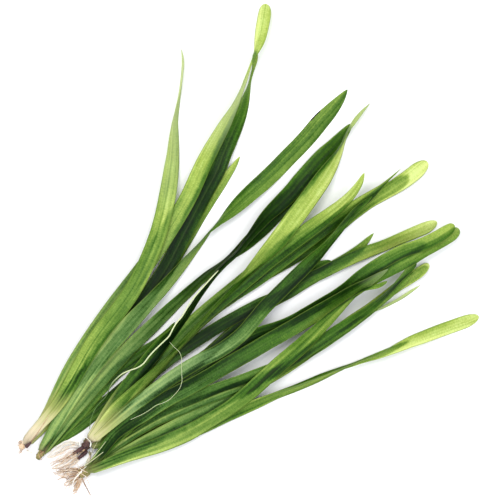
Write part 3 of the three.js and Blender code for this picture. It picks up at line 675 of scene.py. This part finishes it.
def woody_material(name, base, light, dark, moss, cut):
    """Rhizome skin: fibrous streaks of a lighter and a darker shade with small pits and mossy patches.

    Where the piece is marked as cut, the paler flesh shows between the fibres."""
    material, tree, output = new_material(name)
    place = stretched(tree, (1, 1, 1))
    grain = (SKIN_GRAIN, SKIN_GRAIN * 0.35, SKIN_GRAIN)
    fibres = noise_of(tree, stretched(tree, grain), detail=4, rough=0.65)
    spots = noise_of(tree, place, scale=SKIN_GRAIN * 0.4, detail=2)
    patches = noise_of(tree, place, scale=SKIN_GRAIN * 0.16, detail=2)
    colour = blend_of(tree, levels_of(tree, fibres, 0.4, 0.72), (*base, 1), light)
    colour = blend_of(tree, levels_of(tree, patches, 0.5, 0.62, 0, 0.8), colour, moss)
    colour = blend_of(tree, levels_of(tree, spots, 0.56, 0.66, 0, 0.9), colour, dark)
    cut_share = product_of(tree, mark(tree, "cut"), levels_of(tree, fibres, 0.3, 0.6, 0.45, 1.0))
    colour = blend_of(tree, cut_share, colour, cut)
    normal = bump_of(tree, sum_of(tree, fibres, spots), 0.35 * MM, 0.8)
    surface_of(tree, output, {
        "Base Color": colour, "Normal": normal, "Roughness": levels_of(tree, spots, 0.3, 0.7, 0.58, 0.8)})
    return material


def stem_material(name, base, light, green):
    """A pale moist stem: long streaks of a lighter shade, green near its base, a little light inside it."""
    material, tree, output = new_material(name)
    streaks = noise_of(tree, stretched(tree, (260, 260, 700)), detail=3)
    colour = blend_of(tree, levels_of(tree, streaks, 0.35, 0.7), (*base, 1), light)
    colour = blend_of(tree, mark(tree, "green"), colour, green)
    normal = bump_of(tree, streaks, 0.1 * MM, 0.5)
    surface_of(tree, output, {
        "Base Color": colour, "Normal": normal, "Roughness": levels_of(tree, streaks, 0.3, 0.7, 0.45, 0.6),
        "Subsurface Weight": 0.25, "Subsurface Scale": 0.8 * MM, "Subsurface Radius": (1.0, 0.8, 0.5)})
    return material


def fibre_material(colours):
    """Fine roots. The kind of each fibre goes from white through cream and tan to brown, and some are green.

    The darker fibres have dark specks."""
    material, tree, output = new_material("root_fibre")
    streaks = noise_of(tree, stretched(tree, (500, 500, 500)), detail=3)
    kind = sum_of(tree, mark(tree, "kind"), levels_of(tree, streaks, 0.3, 0.7, -0.12, 0.12), clamp=True)
    colour = ramp_of(tree, kind, [
        (0.0, colours.root_white), (0.35, colours.root_cream),
        (0.7, colours.root_tan), (1.0, colours.root_brown)])
    specks = levels_of(tree, noise_of(tree, stretched(tree, (700, 700, 700)), detail=2), 0.6, 0.68)
    speckled = product_of(tree, specks, levels_of(tree, mark(tree, "kind"), 0.3, 0.8, 0, 0.8))
    colour = blend_of(tree, speckled, colour, colours.root_brown)
    colour = blend_of(tree, mark(tree, "green"), colour, colours.leaf_pale)
    surface_of(tree, output, {
        "Base Color": colour, "Roughness": levels_of(tree, streaks, 0.3, 0.7, 0.4, 0.65),
        "Subsurface Weight": 0.2, "Subsurface Scale": 0.5 * MM, "Subsurface Radius": (1.0, 0.8, 0.6),
        "Normal": bump_of(tree, streaks, 0.05 * MM, 0.4)})
    return material


# Leaves


def neck_of(node, base, ahead, side, width):
    """Rows from a crown up to the first row of a blade: distances, middle points, sides and half widths.

    The middle line is the cubic curve that leaves the crown along its heading and meets the blade along the
    blade. The side turns and the half width grows by a smooth step."""
    plant = node.split("_")[1]
    crown = "crown_" + plant
    narrow = NECK_WIDTHS[plant]
    _, length, radius, *_ = CROWNS[crown]
    forth, left = heading_of(crown)
    low, high = (np.array(corner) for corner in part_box(crown))
    start = (low + high) / 2 + forth * length * NECK_PLACE
    start += left * np.clip(0.4 * (base - start) @ left, -0.6 * radius, 0.6 * radius)
    start[2] = np.clip(base[2], 0.3 * high[2], 0.9 * high[2])
    gap = np.linalg.norm(base - start)
    share = np.linspace(0, 1, NECK_ROWS, endpoint=False)
    line = cubic(start, gap * forth, base, gap * ahead, share[:, None])
    step = share ** 2 * (3 - 2 * share)
    sides = unit(left * (1 - step)[:, None] + side * step[:, None])
    return gap * (share - 1), line, sides, width * (narrow + (1 - narrow) * step)


def blade_grid(node, sizes, draw):
    """Points, faces, marks and UV places of a ribbon leaf carried along the stations of its solid.

    At the distance s from the base and the share v across, from -1 to 1, the middle surface is
    centre + v * half width * across + lift * normal. The lift is a shallow cup, v squared, deeper where the
    blade folds and turned down where it wraps its crown, a ripple along its edges, a sine of s times v
    squared, and long pleats, a sine of v whose phase drifts with s. The top and the underside stand half the
    thickness away from it, less towards the edges, and the underside has a midrib."""
    run, centre, across, half = stations_of(node)
    length = run[-1]
    broad = half.max()
    before = np.interp(length - STATION_BEFORE_TIP, run, half)
    rounded = before > ROUND_SHARE * half[-4]
    tip, taper = (ROUND_TIP, ROUND_TAPER) if rounded else (POINTED_TIP, SHARP_TAPER)

    def point(distance):
        share = np.clip((length - distance) / tip, 0, 1)
        return (share * (2 - share)) ** taper

    body = np.linspace(0, length - ROUND_TIP, round((length - ROUND_TIP) / ROW_STEP))
    end = length - ROUND_TIP * (1 - np.linspace(0, 1, TIP_ROWS)[1:]) ** 2
    s = np.concatenate([body, end])
    untapered = half[:-1] / point(run[:-1])
    untapered = np.append(untapered, untapered[-1])
    untapered[-2] = untapered[-1] = untapered[-3]
    width = np.maximum(smooth(run, untapered, s) * point(s), LEAST_HALF_WIDTH)
    middle = smooth(run, centre, s)
    side = unit(smooth(run, across, s))
    neck_s, neck_middle, neck_side, neck_width = neck_of(
        node, middle[0], unit(middle[1] - middle[0]), side[0], width[0])
    s = np.concatenate([neck_s, s])
    middle = np.concatenate([neck_middle, middle])
    side = np.concatenate([neck_side, side])
    width = np.concatenate([neck_width, width])
    ahead = unit(np.gradient(middle, s, axis=0))
    normal = unit(np.cross(ahead, side))
    reach = s - s[0]

    v = np.linspace(-1, 1, COLUMNS)
    grown = np.clip(s / (0.3 * length), 0, 1)
    fold = np.clip(broad * (0.52 + 0.48 * np.sin(grown * math.pi / 2)) * point(s) - width, 0, None)
    wrap = sizes.wrap * np.exp(-(reach / WRAP_REACH) ** 2)
    cup = (sizes.cup - wrap) * width + 0.4 * fold * grown
    phase = draw.uniform(0, 2 * math.pi, 4)
    wave = sizes.ripple_length * draw.uniform(0.8, 1.25)
    ripple = np.sin(2 * math.pi * s / wave + phase[0]) + 0.5 * np.sin(4.6 * math.pi * s / wave + phase[1])
    calm = np.minimum(reach / (0.25 * length), 1) * point(s)
    drift = phase[2] + 0.9 * np.sin(2 * math.pi * s / (2.4 * wave) + phase[3])
    pleats = sizes.pleat_height * np.sin(2.6 * math.pi * v + drift[:, None]) * point(s)[:, None]
    lift = cup[:, None] * (v ** 2 - LEVEL_CUP) + pleats * np.minimum(width / broad, 1)[:, None]
    lift += (sizes.ripple_height * calm * ripple)[:, None] * v ** 2 * np.sign(v + 0.2 * np.cos(phase[2]))
    thick = sizes.leaf_thickness / 2 * (1 - EDGE_THINNING * v ** 4)
    ridge = MIDRIB_HEIGHT * np.exp(-(v / MIDRIB_WIDTH) ** 2)
    slim = np.clip(width / (0.35 * broad), 0.25, 1)[:, None]
    sheet = middle[:, None] + (v * width[:, None])[:, :, None] * side[:, None]
    top = sheet + (lift + slim * thick)[:, :, None] * normal[:, None]
    under = sheet + (lift - slim * (thick + ridge))[:, :, None] * normal[:, None]
    points = np.concatenate([top, under[:, ::-1]], 1)
    points[..., 2] = np.maximum(points[..., 2], BLADE_CLEARANCE)

    rows = len(s)
    around = np.concatenate([v, v[::-1]])
    s_around = np.repeat(s[:, None], 2 * COLUMNS, 1)
    faces = np.concatenate([skin(rows, 2 * COLUMNS), flat_caps(rows, COLUMNS)])
    marks = {
        "midrib": np.exp(-(around / MIDRIB_MARK) ** 2) * point(s)[:, None],
        "rim": np.repeat(np.clip((np.abs(around) - RIM_START) / RIM_WIDTH, 0, 1)[None], rows, 0),
        "along": np.clip(s_around / length, 0, 1),
        "aside": np.repeat(around[None], rows, 0),
        "reach": s_around - s[0],
    }
    uv = np.stack([s_around, (width[:, None] * around)], -1) + draw.uniform(0, 3, 2)
    return points, faces, marks, uv.reshape(-1, 2)


def denser(grid, times=3):
    """A grid of points with more points on the straight lines between its rows and between its columns."""
    shares = np.arange(times)[None, :, None, None] / times
    for _ in range(2):
        between = grid[:-1, None] * (1 - shares) + grid[1:, None] * shares
        grid = np.concatenate([between.reshape(-1, *grid.shape[1:]), grid[-1:]]).swapaxes(0, 1)
    return grid


def cells_of(points):
    """The column and row of the map in which each point falls."""
    index = np.clip((points[..., :2] / CELL + CELLS / 2).astype(int), 0, CELLS - 1)
    return index[..., 0], index[..., 1]


def layers_below(grids):
    """For each point of each blade, how many other blades lie under it.

    Each blade is written into a map of the surface, and each point is compared with the heights of the
    other blades in its cell."""
    maps = []
    for points, *_ in grids:
        dense = denser(points[:, :COLUMNS])
        heights = np.full((CELLS, CELLS), np.inf, np.float32)
        np.minimum.at(heights, cells_of(dense), dense[..., 2].astype(np.float32))
        maps.append(heights)
    counts = []
    for i, (points, *_) in enumerate(grids):
        place = cells_of(points)
        clear = points[..., 2] - 0.1 * MM
        count = sum((maps[j][place] < clear).astype(float) for j in range(len(grids)) if j != i)
        count = np.minimum(count, MOST_LAYERS)
        for _ in range(2):
            padded = np.pad(count, 1, mode="edge")
            count = (padded[:-2, 1:-1] + 2 * padded[1:-1, 1:-1] + padded[2:, 1:-1]) / 4
            padded = np.pad(count, 1, mode="edge")
            count = (padded[1:-1, :-2] + 4 * padded[1:-1, 1:-1] + padded[1:-1, 2:]) / 6
        counts.append(count)
    return counts


def leaf_marks(name, marks, below, sizes):
    """The tone, folds and painted sheen of each point, and how far it is blanched, blushed or faded.

    The tone is that of the blade at its place, times the share kept over each blade to the power of the
    blades under the point less their mean over some centimetres, which is painted shade where more blades lie
    under it and painted light where fewer do, plus a painted side shade from one edge to the other, a sine of
    the reach."""
    plant = name.split("_")[1]
    along = marks.pop("along")
    reach = marks.pop("reach")
    tone = np.interp(along, TONE_PLACES, LEAF_TONES[name])
    half = EVEN_ROWS // 2
    padded = np.pad(below.mean(1), half, mode="edge")
    mean = np.convolve(padded, np.full(EVEN_ROWS, 1 / EVEN_ROWS), mode="valid")
    factor = sizes.stacked_shade_share ** (below - mean[:, None])
    # Painted side shade: one edge of the blade lighter, the other darker
    lean = sizes.lean * np.sin(reach / SIDE_SHADE_LENGTH * 2 * math.pi + len(name) + tone[0, 0] * 9)
    marks["tone"] = np.clip(tone * np.clip(factor, LEAST_SHADE, MOST_SHADE) + lean * marks.pop("aside"), 0, 1)
    pale, near, gone = BLANCHED.get(name, BLANCHED[plant])
    marks["blanch"] = pale * (1 - np.clip((reach - near) / (gone - near), 0, 1)) ** 1.3
    marks["folds"] = FOLDED.get(name, 1) * np.clip(1 - reach / FOLD_REACH, FOLD_LEAST, 1)
    marks["sheen"] = SHEENED.get(name, SHEEN_ELSEWHERE) * np.clip((SHEEN_END - along) / SHEEN_FADE, SHEEN_ELSEWHERE, 1)
    faded, starts, full, ends = FADED.get(name, (0, 0, 1, PAST_TIP))
    growing = np.clip((along - starts) / (full - starts), 0, 1)
    marks["faded"] = faded * growing * np.clip((ends - along) / 0.05, 0, 1)
    blush, end = BLUSHED[plant]
    marks["blush"] = blush * np.clip(1 - reach / end, 0, 1)
    return marks


# Crowns, stems and roots


def crown_grid(node):
    """Points, faces and the cut share of a crown: a barrel on its side with ring scars and lumps.

    At the share t along it and the angle a around it, the radius is its radius times the square root of
    1 - |t| to a power, which is higher where the end is cut off square, times 0.9 + ring scars, a sine of t,
    + a lumpy field of both. It shrinks evenly towards a narrower end and is cut flat below the surface."""
    _, length, radius, square, taper = CROWNS[node]
    rings, sides = CROWN_RINGS, CROWN_SIDES
    forth, left = heading_of(node)
    low, high = (np.array(corner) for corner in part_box(node))
    middle = (low + high) / 2
    middle[2] = high[2] - radius
    t = np.sin(np.linspace(-1, 1, rings) * math.pi / 2)
    angle = np.linspace(0, 2 * math.pi, sides, endpoint=False)
    tt, aa = np.meshgrid(t, angle, indexing="ij")
    seed = CROWN_SEED + int(node[-1])
    scars = 0.06 * np.sin(13 * tt + 0.9 * np.sin(aa) + 0.5 * np.sin(3 * aa))
    field = 0.1 * lumps(3 * tt, aa, seed) + 0.045 * lumps(9 * tt, aa, seed + 5, low=3, high=9)
    power = np.where(tt < 0, square, 4)
    barrel = radius * np.sqrt(np.clip(1 - np.abs(tt) ** power, 0.0008, 1)) * (0.9 + scars + field)
    barrel *= 1 - taper * (1 - tt) / 2
    place = (middle + (tt * length / 2)[..., None] * forth + (barrel * np.cos(aa))[..., None] * left
             + (barrel * np.sin(aa))[..., None] * [0, 0, 1])
    place[..., 2] = np.maximum(place[..., 2], CLEARANCE)
    top = np.arange(sides // 2 - 1)
    cap = np.stack([top, top + 1, sides - 2 - top, sides - 1 - top], -1)
    faces = np.concatenate([skin(rings, sides)[:, ::-1], cap[:, ::-1], cap + (rings - 1) * sides])
    cut_share = 0.6 * np.clip((-tt - 0.9) / 0.06, 0, 1) * (taper > 0.3)
    return place.reshape(-1, 3), faces, cut_share


def round_ends(share):
    """The share of its radius that a strand has at a share of its length: all of it, but less at its ends."""
    return np.sqrt(np.clip(1 - (2 * share - 1) ** 24, 0.02, 1))


def round_strand(node, rows, radii, lead, wobble, seed, sides=12):
    """Points, faces and the share along of one round strand with a slightly lumpy skin.

    It follows its solid's centre line, which is led on straight at its start, and its radius goes evenly
    through the given values."""
    run, centre, _, _ = stations_of(node)
    path = smooth(run, centre, np.linspace(0, run[-1], rows))
    back = unit(path[0] - path[1]) * lead
    path = np.concatenate([path[0] + back * np.linspace(1, 0, 6, endpoint=False)[:, None], path])
    draw = np.random.default_rng(seed)
    phase = draw.uniform(0, 2 * math.pi, 2)
    share = np.linspace(0, 1, len(path))
    profile = np.interp(share, np.linspace(0, 1, len(radii)), radii) * MM
    profile = profile * (1 + wobble * np.sin(21 * share + phase[0]) * np.cos(8 * share + phase[1]))
    profile = profile * round_ends(share)
    points, faces = tubes(path[None], profile[None], sides)
    points[:, 2] = np.maximum(points[:, 2], CLEARANCE)
    return points, faces, np.repeat(share, sides)


def spray_fibres(numbers, guides, draw):
    """Fibres between two guide lines: paths, radii and kinds.

    Fibre f is the first guide times 1 - w plus the second times w, with its own w, from its own start to its
    own end. Two slow sines make it wander, more towards its end, and its height goes through three values."""
    count, thin, stout, whitest, brownest, *heights, wander = numbers
    lines = np.array([line_through(guide, GUIDE_ROWS) for guide in guides])
    start = draw.uniform(0, 0.12, (count, 1))
    end = draw.uniform(0.55, 1.0, (count, 1))
    share = start + (end - start) * np.linspace(0, 1, FIBRE_ROWS)
    place = np.linspace(0, 1, GUIDE_ROWS)
    w = draw.uniform(0, 1, (count, 1))
    phase = draw.uniform(0, 2 * math.pi, (6, count, 1))
    pace = draw.uniform(0.7, 1.4, (count, 1))
    paths = np.empty((count, FIBRE_ROWS, 3))
    for axis in (0, 1):
        first = np.interp(share, place, lines[0][:, axis])
        second = np.interp(share, place, lines[1][:, axis])
        sway = np.sin(6 * pace * share + phase[axis]) + 0.45 * np.sin(17 * pace * share + phase[axis + 2])
        paths[..., axis] = first * (1 - w) + second * w + wander * MM * sway * (0.15 + share) * 0.6
    height = np.interp(share, [0, 0.5, 1], heights)
    spread = 1 + 0.45 * np.sin(5 * share + phase[4])
    stout_radius = draw.uniform(thin, stout, (count, 1)) * MM
    radii = stout_radius * (1 - 0.55 * share / end)
    paths[..., 2] = np.maximum(height * MM * spread * draw.uniform(0.5, 1.1, (count, 1)), radii + 0.05 * MM)
    kinds = draw.uniform(whitest, brownest, count)
    return paths, radii, kinds


def top_map():
    """The highest blade or crown in each cell of a map, from the finished pieces."""
    heights = np.zeros((CELLS // COARSE + 1, CELLS // COARSE + 1))
    for piece in bpy.data.objects:
        if piece.name.startswith(("blade_", "skin_")):
            points = np.empty(3 * len(piece.data.vertices), np.float32)
            piece.data.vertices.foreach_get("co", points)
            points = points.reshape(-1, 3)
            column, row = cells_of(points)
            np.maximum.at(heights, (column // COARSE, row // COARSE), points[:, 2])
    return heights


def laid_strand(radii, kinds, line, heights):
    """Points, faces and kinds of a strand that lies on the blades and crowns under it.

    Its height is the highest of the map around each point, made even along the strand, plus its radius."""
    path = np.concatenate([line_through(line, LAID_ROWS), np.zeros((LAID_ROWS, 1))], 1)
    column, row = cells_of(path)
    under = heights[column // COARSE, row // COARSE]
    for _ in range(3):
        padded = np.pad(under, 1, mode="edge")
        under = np.maximum(under, (padded[:-2] + padded[2:]) / 2)
    kernel = np.full(9, 1 / 9)
    under = np.convolve(np.pad(under, 4, mode="edge"), kernel, mode="valid")
    share = np.linspace(0, 1, LAID_ROWS)
    radius = (radii[0] * (1 - share) + radii[1] * share) * MM
    radius = radius * round_ends(share)
    path[:, 2] = np.maximum(under + 0.6 * radius, radius + CLEARANCE)
    points, faces = tubes(path[None], radius[None], SMALL_SIDES)
    return points, faces, np.repeat(kinds[0] * (1 - share) + kinds[1] * share, SMALL_SIDES)


# The parts of the add-on


def length_property(name, description, default):
    """A length in metres."""
    return bpy.props.FloatProperty(name=name, description=description, default=default, unit="LENGTH")


def number_property(name, description, default):
    """A plain number."""
    return bpy.props.FloatProperty(name=name, description=description, default=default)


class ClumpSizes(bpy.types.PropertyGroup):
    """Sizes of the leaves and how they are shaded."""

    leaf_thickness: length_property("Leaf thickness", "Thickness of a blade", 0.32 * MM)
    cup: number_property("Cup", "Depth of the cup of a blade over its half width", 0.05)
    ripple_height: length_property("Ripple height", "Height of the ripple of the edges", 0.14 * MM)
    ripple_length: length_property("Ripple length", "Length of one ripple", 52 * MM)
    pleat_height: length_property("Pleat height", "Height of the long pleats of a blade", 0.11 * MM)
    wrap: number_property("Wrap", "How far the base of a blade bends round its crown", 0.45)
    # The share of its tone that a blade keeps over each blade under it: painted shade of stacked blades
    stacked_shade_share: number_property("Layer share", "Share of its tone that a blade keeps over another", 0.64)
    # How much lighter a blade is painted at one edge than in its middle: painted side shade
    lean: number_property("Lean", "How much lighter a blade is at one edge than in its middle", 0.12)


def colour_property(name, description, default):
    """A colour with red, green and blue from 0 to 1, in linear light."""
    return bpy.props.FloatVectorProperty(
        name=name, description=description, default=default, size=3, min=0, max=1, subtype="COLOR")


class ClumpColours(bpy.types.PropertyGroup):
    """Colours of the leaves, crowns, roots and floor."""

    # The darkest green is painted shade where blades lie stacked
    leaf_stacked_shade: colour_property("Darkest green", "Blades with others under them", (0.002, 0.012, 0.002))
    leaf_dark: colour_property("Dark green", "Older blades", (0.009, 0.036, 0.003))
    leaf_green: colour_property("Green", "Middle of the blades", (0.050, 0.143, 0.010))
    # The light, lime and pale lime greens are partly painted light that comes through single blades
    leaf_light: colour_property("Light green", "Single blades", (0.172, 0.292, 0.040))
    leaf_lime: colour_property("Lime", "Young blades", (0.40, 0.52, 0.095))
    leaf_tip_glow: colour_property("Pale lime", "Outermost tips", (0.73, 0.81, 0.28))
    # Colour of the painted bluish sheen on light blades
    leaf_sheen: colour_property("Sheen", "Bluish wax on light blades", (0.31, 0.45, 0.27))
    # Tint of the painted bluish sheen in patches
    leaf_sheen_tint: colour_property("Cool shade", "Bluish patches of the blades", (0.72, 0.95, 1.0))
    leaf_pale: colour_property("Pale green", "Upper part of the pale base", (0.50, 0.53, 0.17))
    leaf_cream: colour_property("Cream base", "Blanched base of a blade", (0.80, 0.70, 0.50))
    leaf_faded: colour_property("Faded green", "Blades that go pale towards the tip", (0.56, 0.64, 0.36))
    leaf_line: colour_property("Base line", "Fine lines of the pale base", (0.36, 0.30, 0.10))
    leaf_blush: colour_property("Blush", "Purple-brown where a blade leaves its crown", (0.22, 0.12, 0.12))
    leaf_vein: colour_property("Midrib", "Middle line of a blade", (0.30, 0.42, 0.12))
    # Colour of the painted rim: lighter edge on dark blades, darker outline on light ones
    leaf_rim_light_shade: colour_property("Rim", "Thin edge of a blade", (0.15, 0.24, 0.03))
    leaf_through: colour_property("Light through", "Tint of the light that comes through", (0.78, 0.93, 0.36))
    root_white: colour_property("White root", "Youngest fine roots", (0.88, 0.87, 0.80))
    root_cream: colour_property("Cream root", "Fine roots", (0.74, 0.57, 0.40))
    root_tan: colour_property("Tan root", "Older roots", (0.50, 0.31, 0.17))
    root_brown: colour_property("Brown root", "Oldest roots", (0.14, 0.07, 0.035))
    crown_tan: colour_property("Tan crown", "Skin of crown 1", (0.66, 0.46, 0.28))
    crown_olive: colour_property("Olive crown", "Skin of crowns 2 and 4", (0.17, 0.155, 0.035))
    crown_straw: colour_property("Straw", "Fibres and cut flesh of crowns 2 and 4", (0.45, 0.36, 0.15))
    crown_brown: colour_property("Brown crown", "Skin of crown 3", (0.05, 0.018, 0.022))
    stem_pale: colour_property("Pale stem", "Flower stalk and runners", (0.60, 0.65, 0.37))
    floor: colour_property("Floor", "The plain floor", (0.93, 0.93, 0.935))


class CLUMP_OT_leaves(bpy.types.Operator):
    """Build the ribbon leaves"""

    bl_idname = "clump.leaves"
    bl_label = "Leaves"

    def execute(self, context):
        sizes = context.scene.clump_sizes
        material = leaf_material(context.scene.clump_colours)
        draw = np.random.default_rng(LEAF_SEED)
        grids = [blade_grid(name, sizes, draw) for name in LEAF_TONES]
        below = layers_below(grids)
        for name, (points, faces, marks, uv), under in zip(LEAF_TONES, grids, below):
            marks = leaf_marks(name, marks, under, sizes)
            add_piece("blade_" + name, points.reshape(-1, 3), faces, material, [name], marks, uv)
        return {"FINISHED"}


class CLUMP_OT_crowns(bpy.types.Operator):
    """Build the four crowns"""

    bl_idname = "clump.crowns"
    bl_label = "Crowns"

    def execute(self, context):
        colours = context.scene.clump_colours
        near_black = (0.012, 0.006, 0.008)
        knot = (colours.crown_olive, colours.crown_straw, colours.root_brown)
        skins = {
            "crown_1": ("crown_tan", "crown_tan_skin", (
                colours.crown_tan, colours.root_cream, colours.root_brown, colours.root_white,
                colours.root_cream)),
            "crown_2": ("crown_olive", "crown_olive_skin", (*knot, colours.leaf_dark, colours.crown_straw)),
            "crown_3": ("crown_brown", "crown_brown_skin", (
                colours.crown_brown, colours.root_brown, near_black, colours.crown_olive, colours.root_tan)),
            "crown_4": ("crown_olive", "crown_knot_skin", (*knot, colours.root_tan, colours.crown_straw)),
        }
        for node, (slot, name, shades) in skins.items():
            points, faces, cut_share = crown_grid(node)
            material = woody_material(name, *shades)
            add_piece("skin_" + node, points, faces, material, [node], {"cut": cut_share})
        return {"FINISHED"}


class CLUMP_OT_stems(bpy.types.Operator):
    """Build the runners, stubs, bud, flower stalk and root thread"""

    bl_idname = "clump.stems"
    bl_label = "Stems"

    def execute(self, context):
        colours = context.scene.clump_colours
        pale = stem_material("pale_stem_skin", colours.stem_pale, colours.leaf_faded, colours.leaf_green)
        tan = stem_material("runner_skin", colours.root_cream, colours.root_white, colours.crown_olive)
        stub = woody_material("stub_skin", colours.crown_brown, (0.09, 0.035, 0.03), (0.01, 0.004, 0.004),
                              (0.11, 0.045, 0.04), colours.root_tan)
        stems = {
            "runner_1_2": ((0.7, 0.6), 1.0, 0.06, tan, "pale_stem", 0.1),
            "runner_2_3": ((0.6, 0.6), 1.0, 0.06, tan, "pale_stem", 0.1),
            "runner_3_4": ((0.8, 0.8), 1.0, 0.06, tan, "pale_stem", 0.8),
            "crown_3_stub_a": ((1.8, 1.35), 3.0, 0.12, stub, "crown_brown", 0),
            "crown_3_stub_b": ((1.7, 1.3), 3.0, 0.12, stub, "crown_brown", 0),
            "crown_1_bud": ((1.5, 1.55, 1.1, 0.4), 0.6, 0.08, stub, "crown_brown", 0),
            "flower_stalk": ((0.28, 0.32, 0.5, 0.56, 0.56, 0.5), 0, 0.06, pale, "pale_stem", 0.9),
            "root_thread": ((0.2, 0.16), 0, 0.08, pale, "pale_stem", 0.1),
        }
        for seed, (node, (radii, lead, wobble, material, slot, green)) in enumerate(stems.items()):
            points, faces, share = round_strand(node, STEM_ROWS, radii, lead * MM, wobble, seed)
            marks = {
                "green": green * np.clip((0.38 - share) / 0.12, 0, 1),
                "cut": np.clip((share - 0.9) / 0.05, 0, 0.8),
            }
            add_piece("strand_" + node, points, faces, material, [node], marks)
        return {"FINISHED"}


class CLUMP_OT_roots(bpy.types.Operator):
    """Build the locks of fine roots and the single roots"""

    bl_idname = "clump.roots"
    bl_label = "Roots"

    def execute(self, context):
        material = fibre_material(context.scene.clump_colours)
        draw = np.random.default_rng(ROOT_SEED)
        for name, (nodes, numbers, guides) in SPRAYS.items():
            paths, radii, kinds = spray_fibres(numbers, guides, draw)
            points, faces = tubes(paths, radii, FIBRE_SIDES)
            kind = np.repeat(kinds, radii.shape[1] * FIBRE_SIDES)
            add_piece("spray_" + name, points, faces, material, nodes, {"kind": kind})
        singles = {
            "root_loop": ((0.5, 0.42), 0.0),
            "root_white": ((0.5, 0.3), 0.05),
            "root_brown": ((0.62, 0.3), 0.86),
            "root_hair_a": ((0.2, 0.12), 0.5),
            "root_hair_b": ((0.18, 0.1), 0.45),
            "root_hair_c": ((0.2, 0.1), 0.5),
        }
        for seed, (node, (radii, kind)) in enumerate(singles.items()):
            points, faces, _ = round_strand(
                node, SINGLE_ROOT_ROWS, radii, 0, 0.12, SINGLE_ROOT_SEED + seed, SMALL_SIDES)
            marks = {"kind": np.full(len(points), kind)}
            add_piece("fibre_" + node, points, faces, material, [node], marks)
        heights = top_map()
        for name, (radii, kinds, line) in LAID.items():
            points, faces, kind = laid_strand(radii, kinds, line, heights)
            green = np.full(len(points), 0.65 if "green" in name else 0.0)
            add_piece("laid_" + name, points, faces, material, (), {"kind": kind, "green": green})
        return {"FINISHED"}


class CLUMP_OT_stage(bpy.types.Operator):
    """Build the floor, the lamps and the camera"""

    bl_idname = "clump.stage"
    bl_label = "Stage"

    def execute(self, context):
        scene = context.scene
        colours = scene.clump_colours
        add_floor(colours)
        for name, settings in LAMPS.items():
            add_lamp(name, *settings)
        world = bpy.data.worlds.new("soft_room")
        world.use_nodes = True
        background = world.node_tree.nodes["Background"]
        background.inputs["Color"].default_value = ROOM_COLOUR
        background.inputs["Strength"].default_value = 1.0
        scene.world = world
        add_camera(scene)
        scene.view_settings.view_transform = "Standard"
        return {"FINISHED"}


def add_floor(colours):
    """A plain pale floor under the clump."""
    material, tree, output = new_material("plain_floor")
    surface_of(tree, output, {
        "Base Color": (*colours.floor, 1), "Roughness": 0.9, "Specular IOR Level": 0.1})
    mesh = bpy.data.meshes.new("floor")
    corners = [(x * FLOOR_HALF, y * FLOOR_HALF, 0) for x, y in ((-1, -1), (1, -1), (1, 1), (-1, 1))]
    mesh.from_pydata(corners, [], [(0, 1, 2, 3)])
    mesh.materials.append(material)
    floor = bpy.data.objects.new("floor", mesh)
    bpy.context.scene.collection.objects.link(floor)


def add_lamp(name, place, size, power, colour):
    """A square area lamp that points at the clump."""
    lamp = bpy.data.lights.new(name, "AREA")
    lamp.shape = "SQUARE"
    lamp.size = size
    lamp.energy = power
    lamp.color = colour
    holder = bpy.data.objects.new(name, lamp)
    bpy.context.scene.collection.objects.link(holder)
    x, y, z = place
    holder.location = place
    holder.rotation_euler = (0, math.atan2(math.hypot(x, y), z), math.atan2(y, x))


def add_camera(scene):
    """A long lens that looks straight down and sees the view's width at the surface."""
    camera = bpy.data.cameras.new("camera")
    camera.lens = VIEW_LENS
    camera.sensor_width = VIEW_SENSOR
    holder = bpy.data.objects.new("camera", camera)
    scene.collection.objects.link(holder)
    holder.location = (*VIEW_CENTRE, VIEW_WIDTH * VIEW_LENS / VIEW_SENSOR)
    scene.camera = holder


OPERATORS = (CLUMP_OT_leaves, CLUMP_OT_crowns, CLUMP_OT_stems, CLUMP_OT_roots, CLUMP_OT_stage)


class CLUMP_PT_panel(bpy.types.Panel):
    """The clump's sizes and colours, and a button for each group of pieces"""

    bl_idname = "CLUMP_PT_panel"
    bl_label = "Vallisneria clump"
    bl_space_type = "VIEW_3D"
    bl_region_type = "UI"
    bl_category = "Clump"

    def draw(self, context):
        column = self.layout.column()
        for group in (context.scene.clump_sizes, context.scene.clump_colours):
            for name in group.__annotations__:
                column.prop(group, name)
        for operator in OPERATORS:
            column.operator(operator.bl_idname)


CLASSES = (ClumpSizes, ClumpColours, *OPERATORS, CLUMP_PT_panel)


def register():
    """Make the clump's properties, operators and panel known."""
    for one in CLASSES:
        bpy.utils.register_class(one)
    bpy.types.Scene.clump_sizes = bpy.props.PointerProperty(type=ClumpSizes)
    bpy.types.Scene.clump_colours = bpy.props.PointerProperty(type=ClumpColours)


def unregister():
    """Take them away again."""
    del bpy.types.Scene.clump_colours
    del bpy.types.Scene.clump_sizes
    for one in reversed(CLASSES):
        bpy.utils.unregister_class(one)


def main():
    """Build every piece and the stage."""
    register()
    bpy.ops.clump.leaves()
    bpy.ops.clump.crowns()
    bpy.ops.clump.stems()
    bpy.ops.clump.roots()
    bpy.ops.clump.stage()


if __name__ == "__main__":
    main()
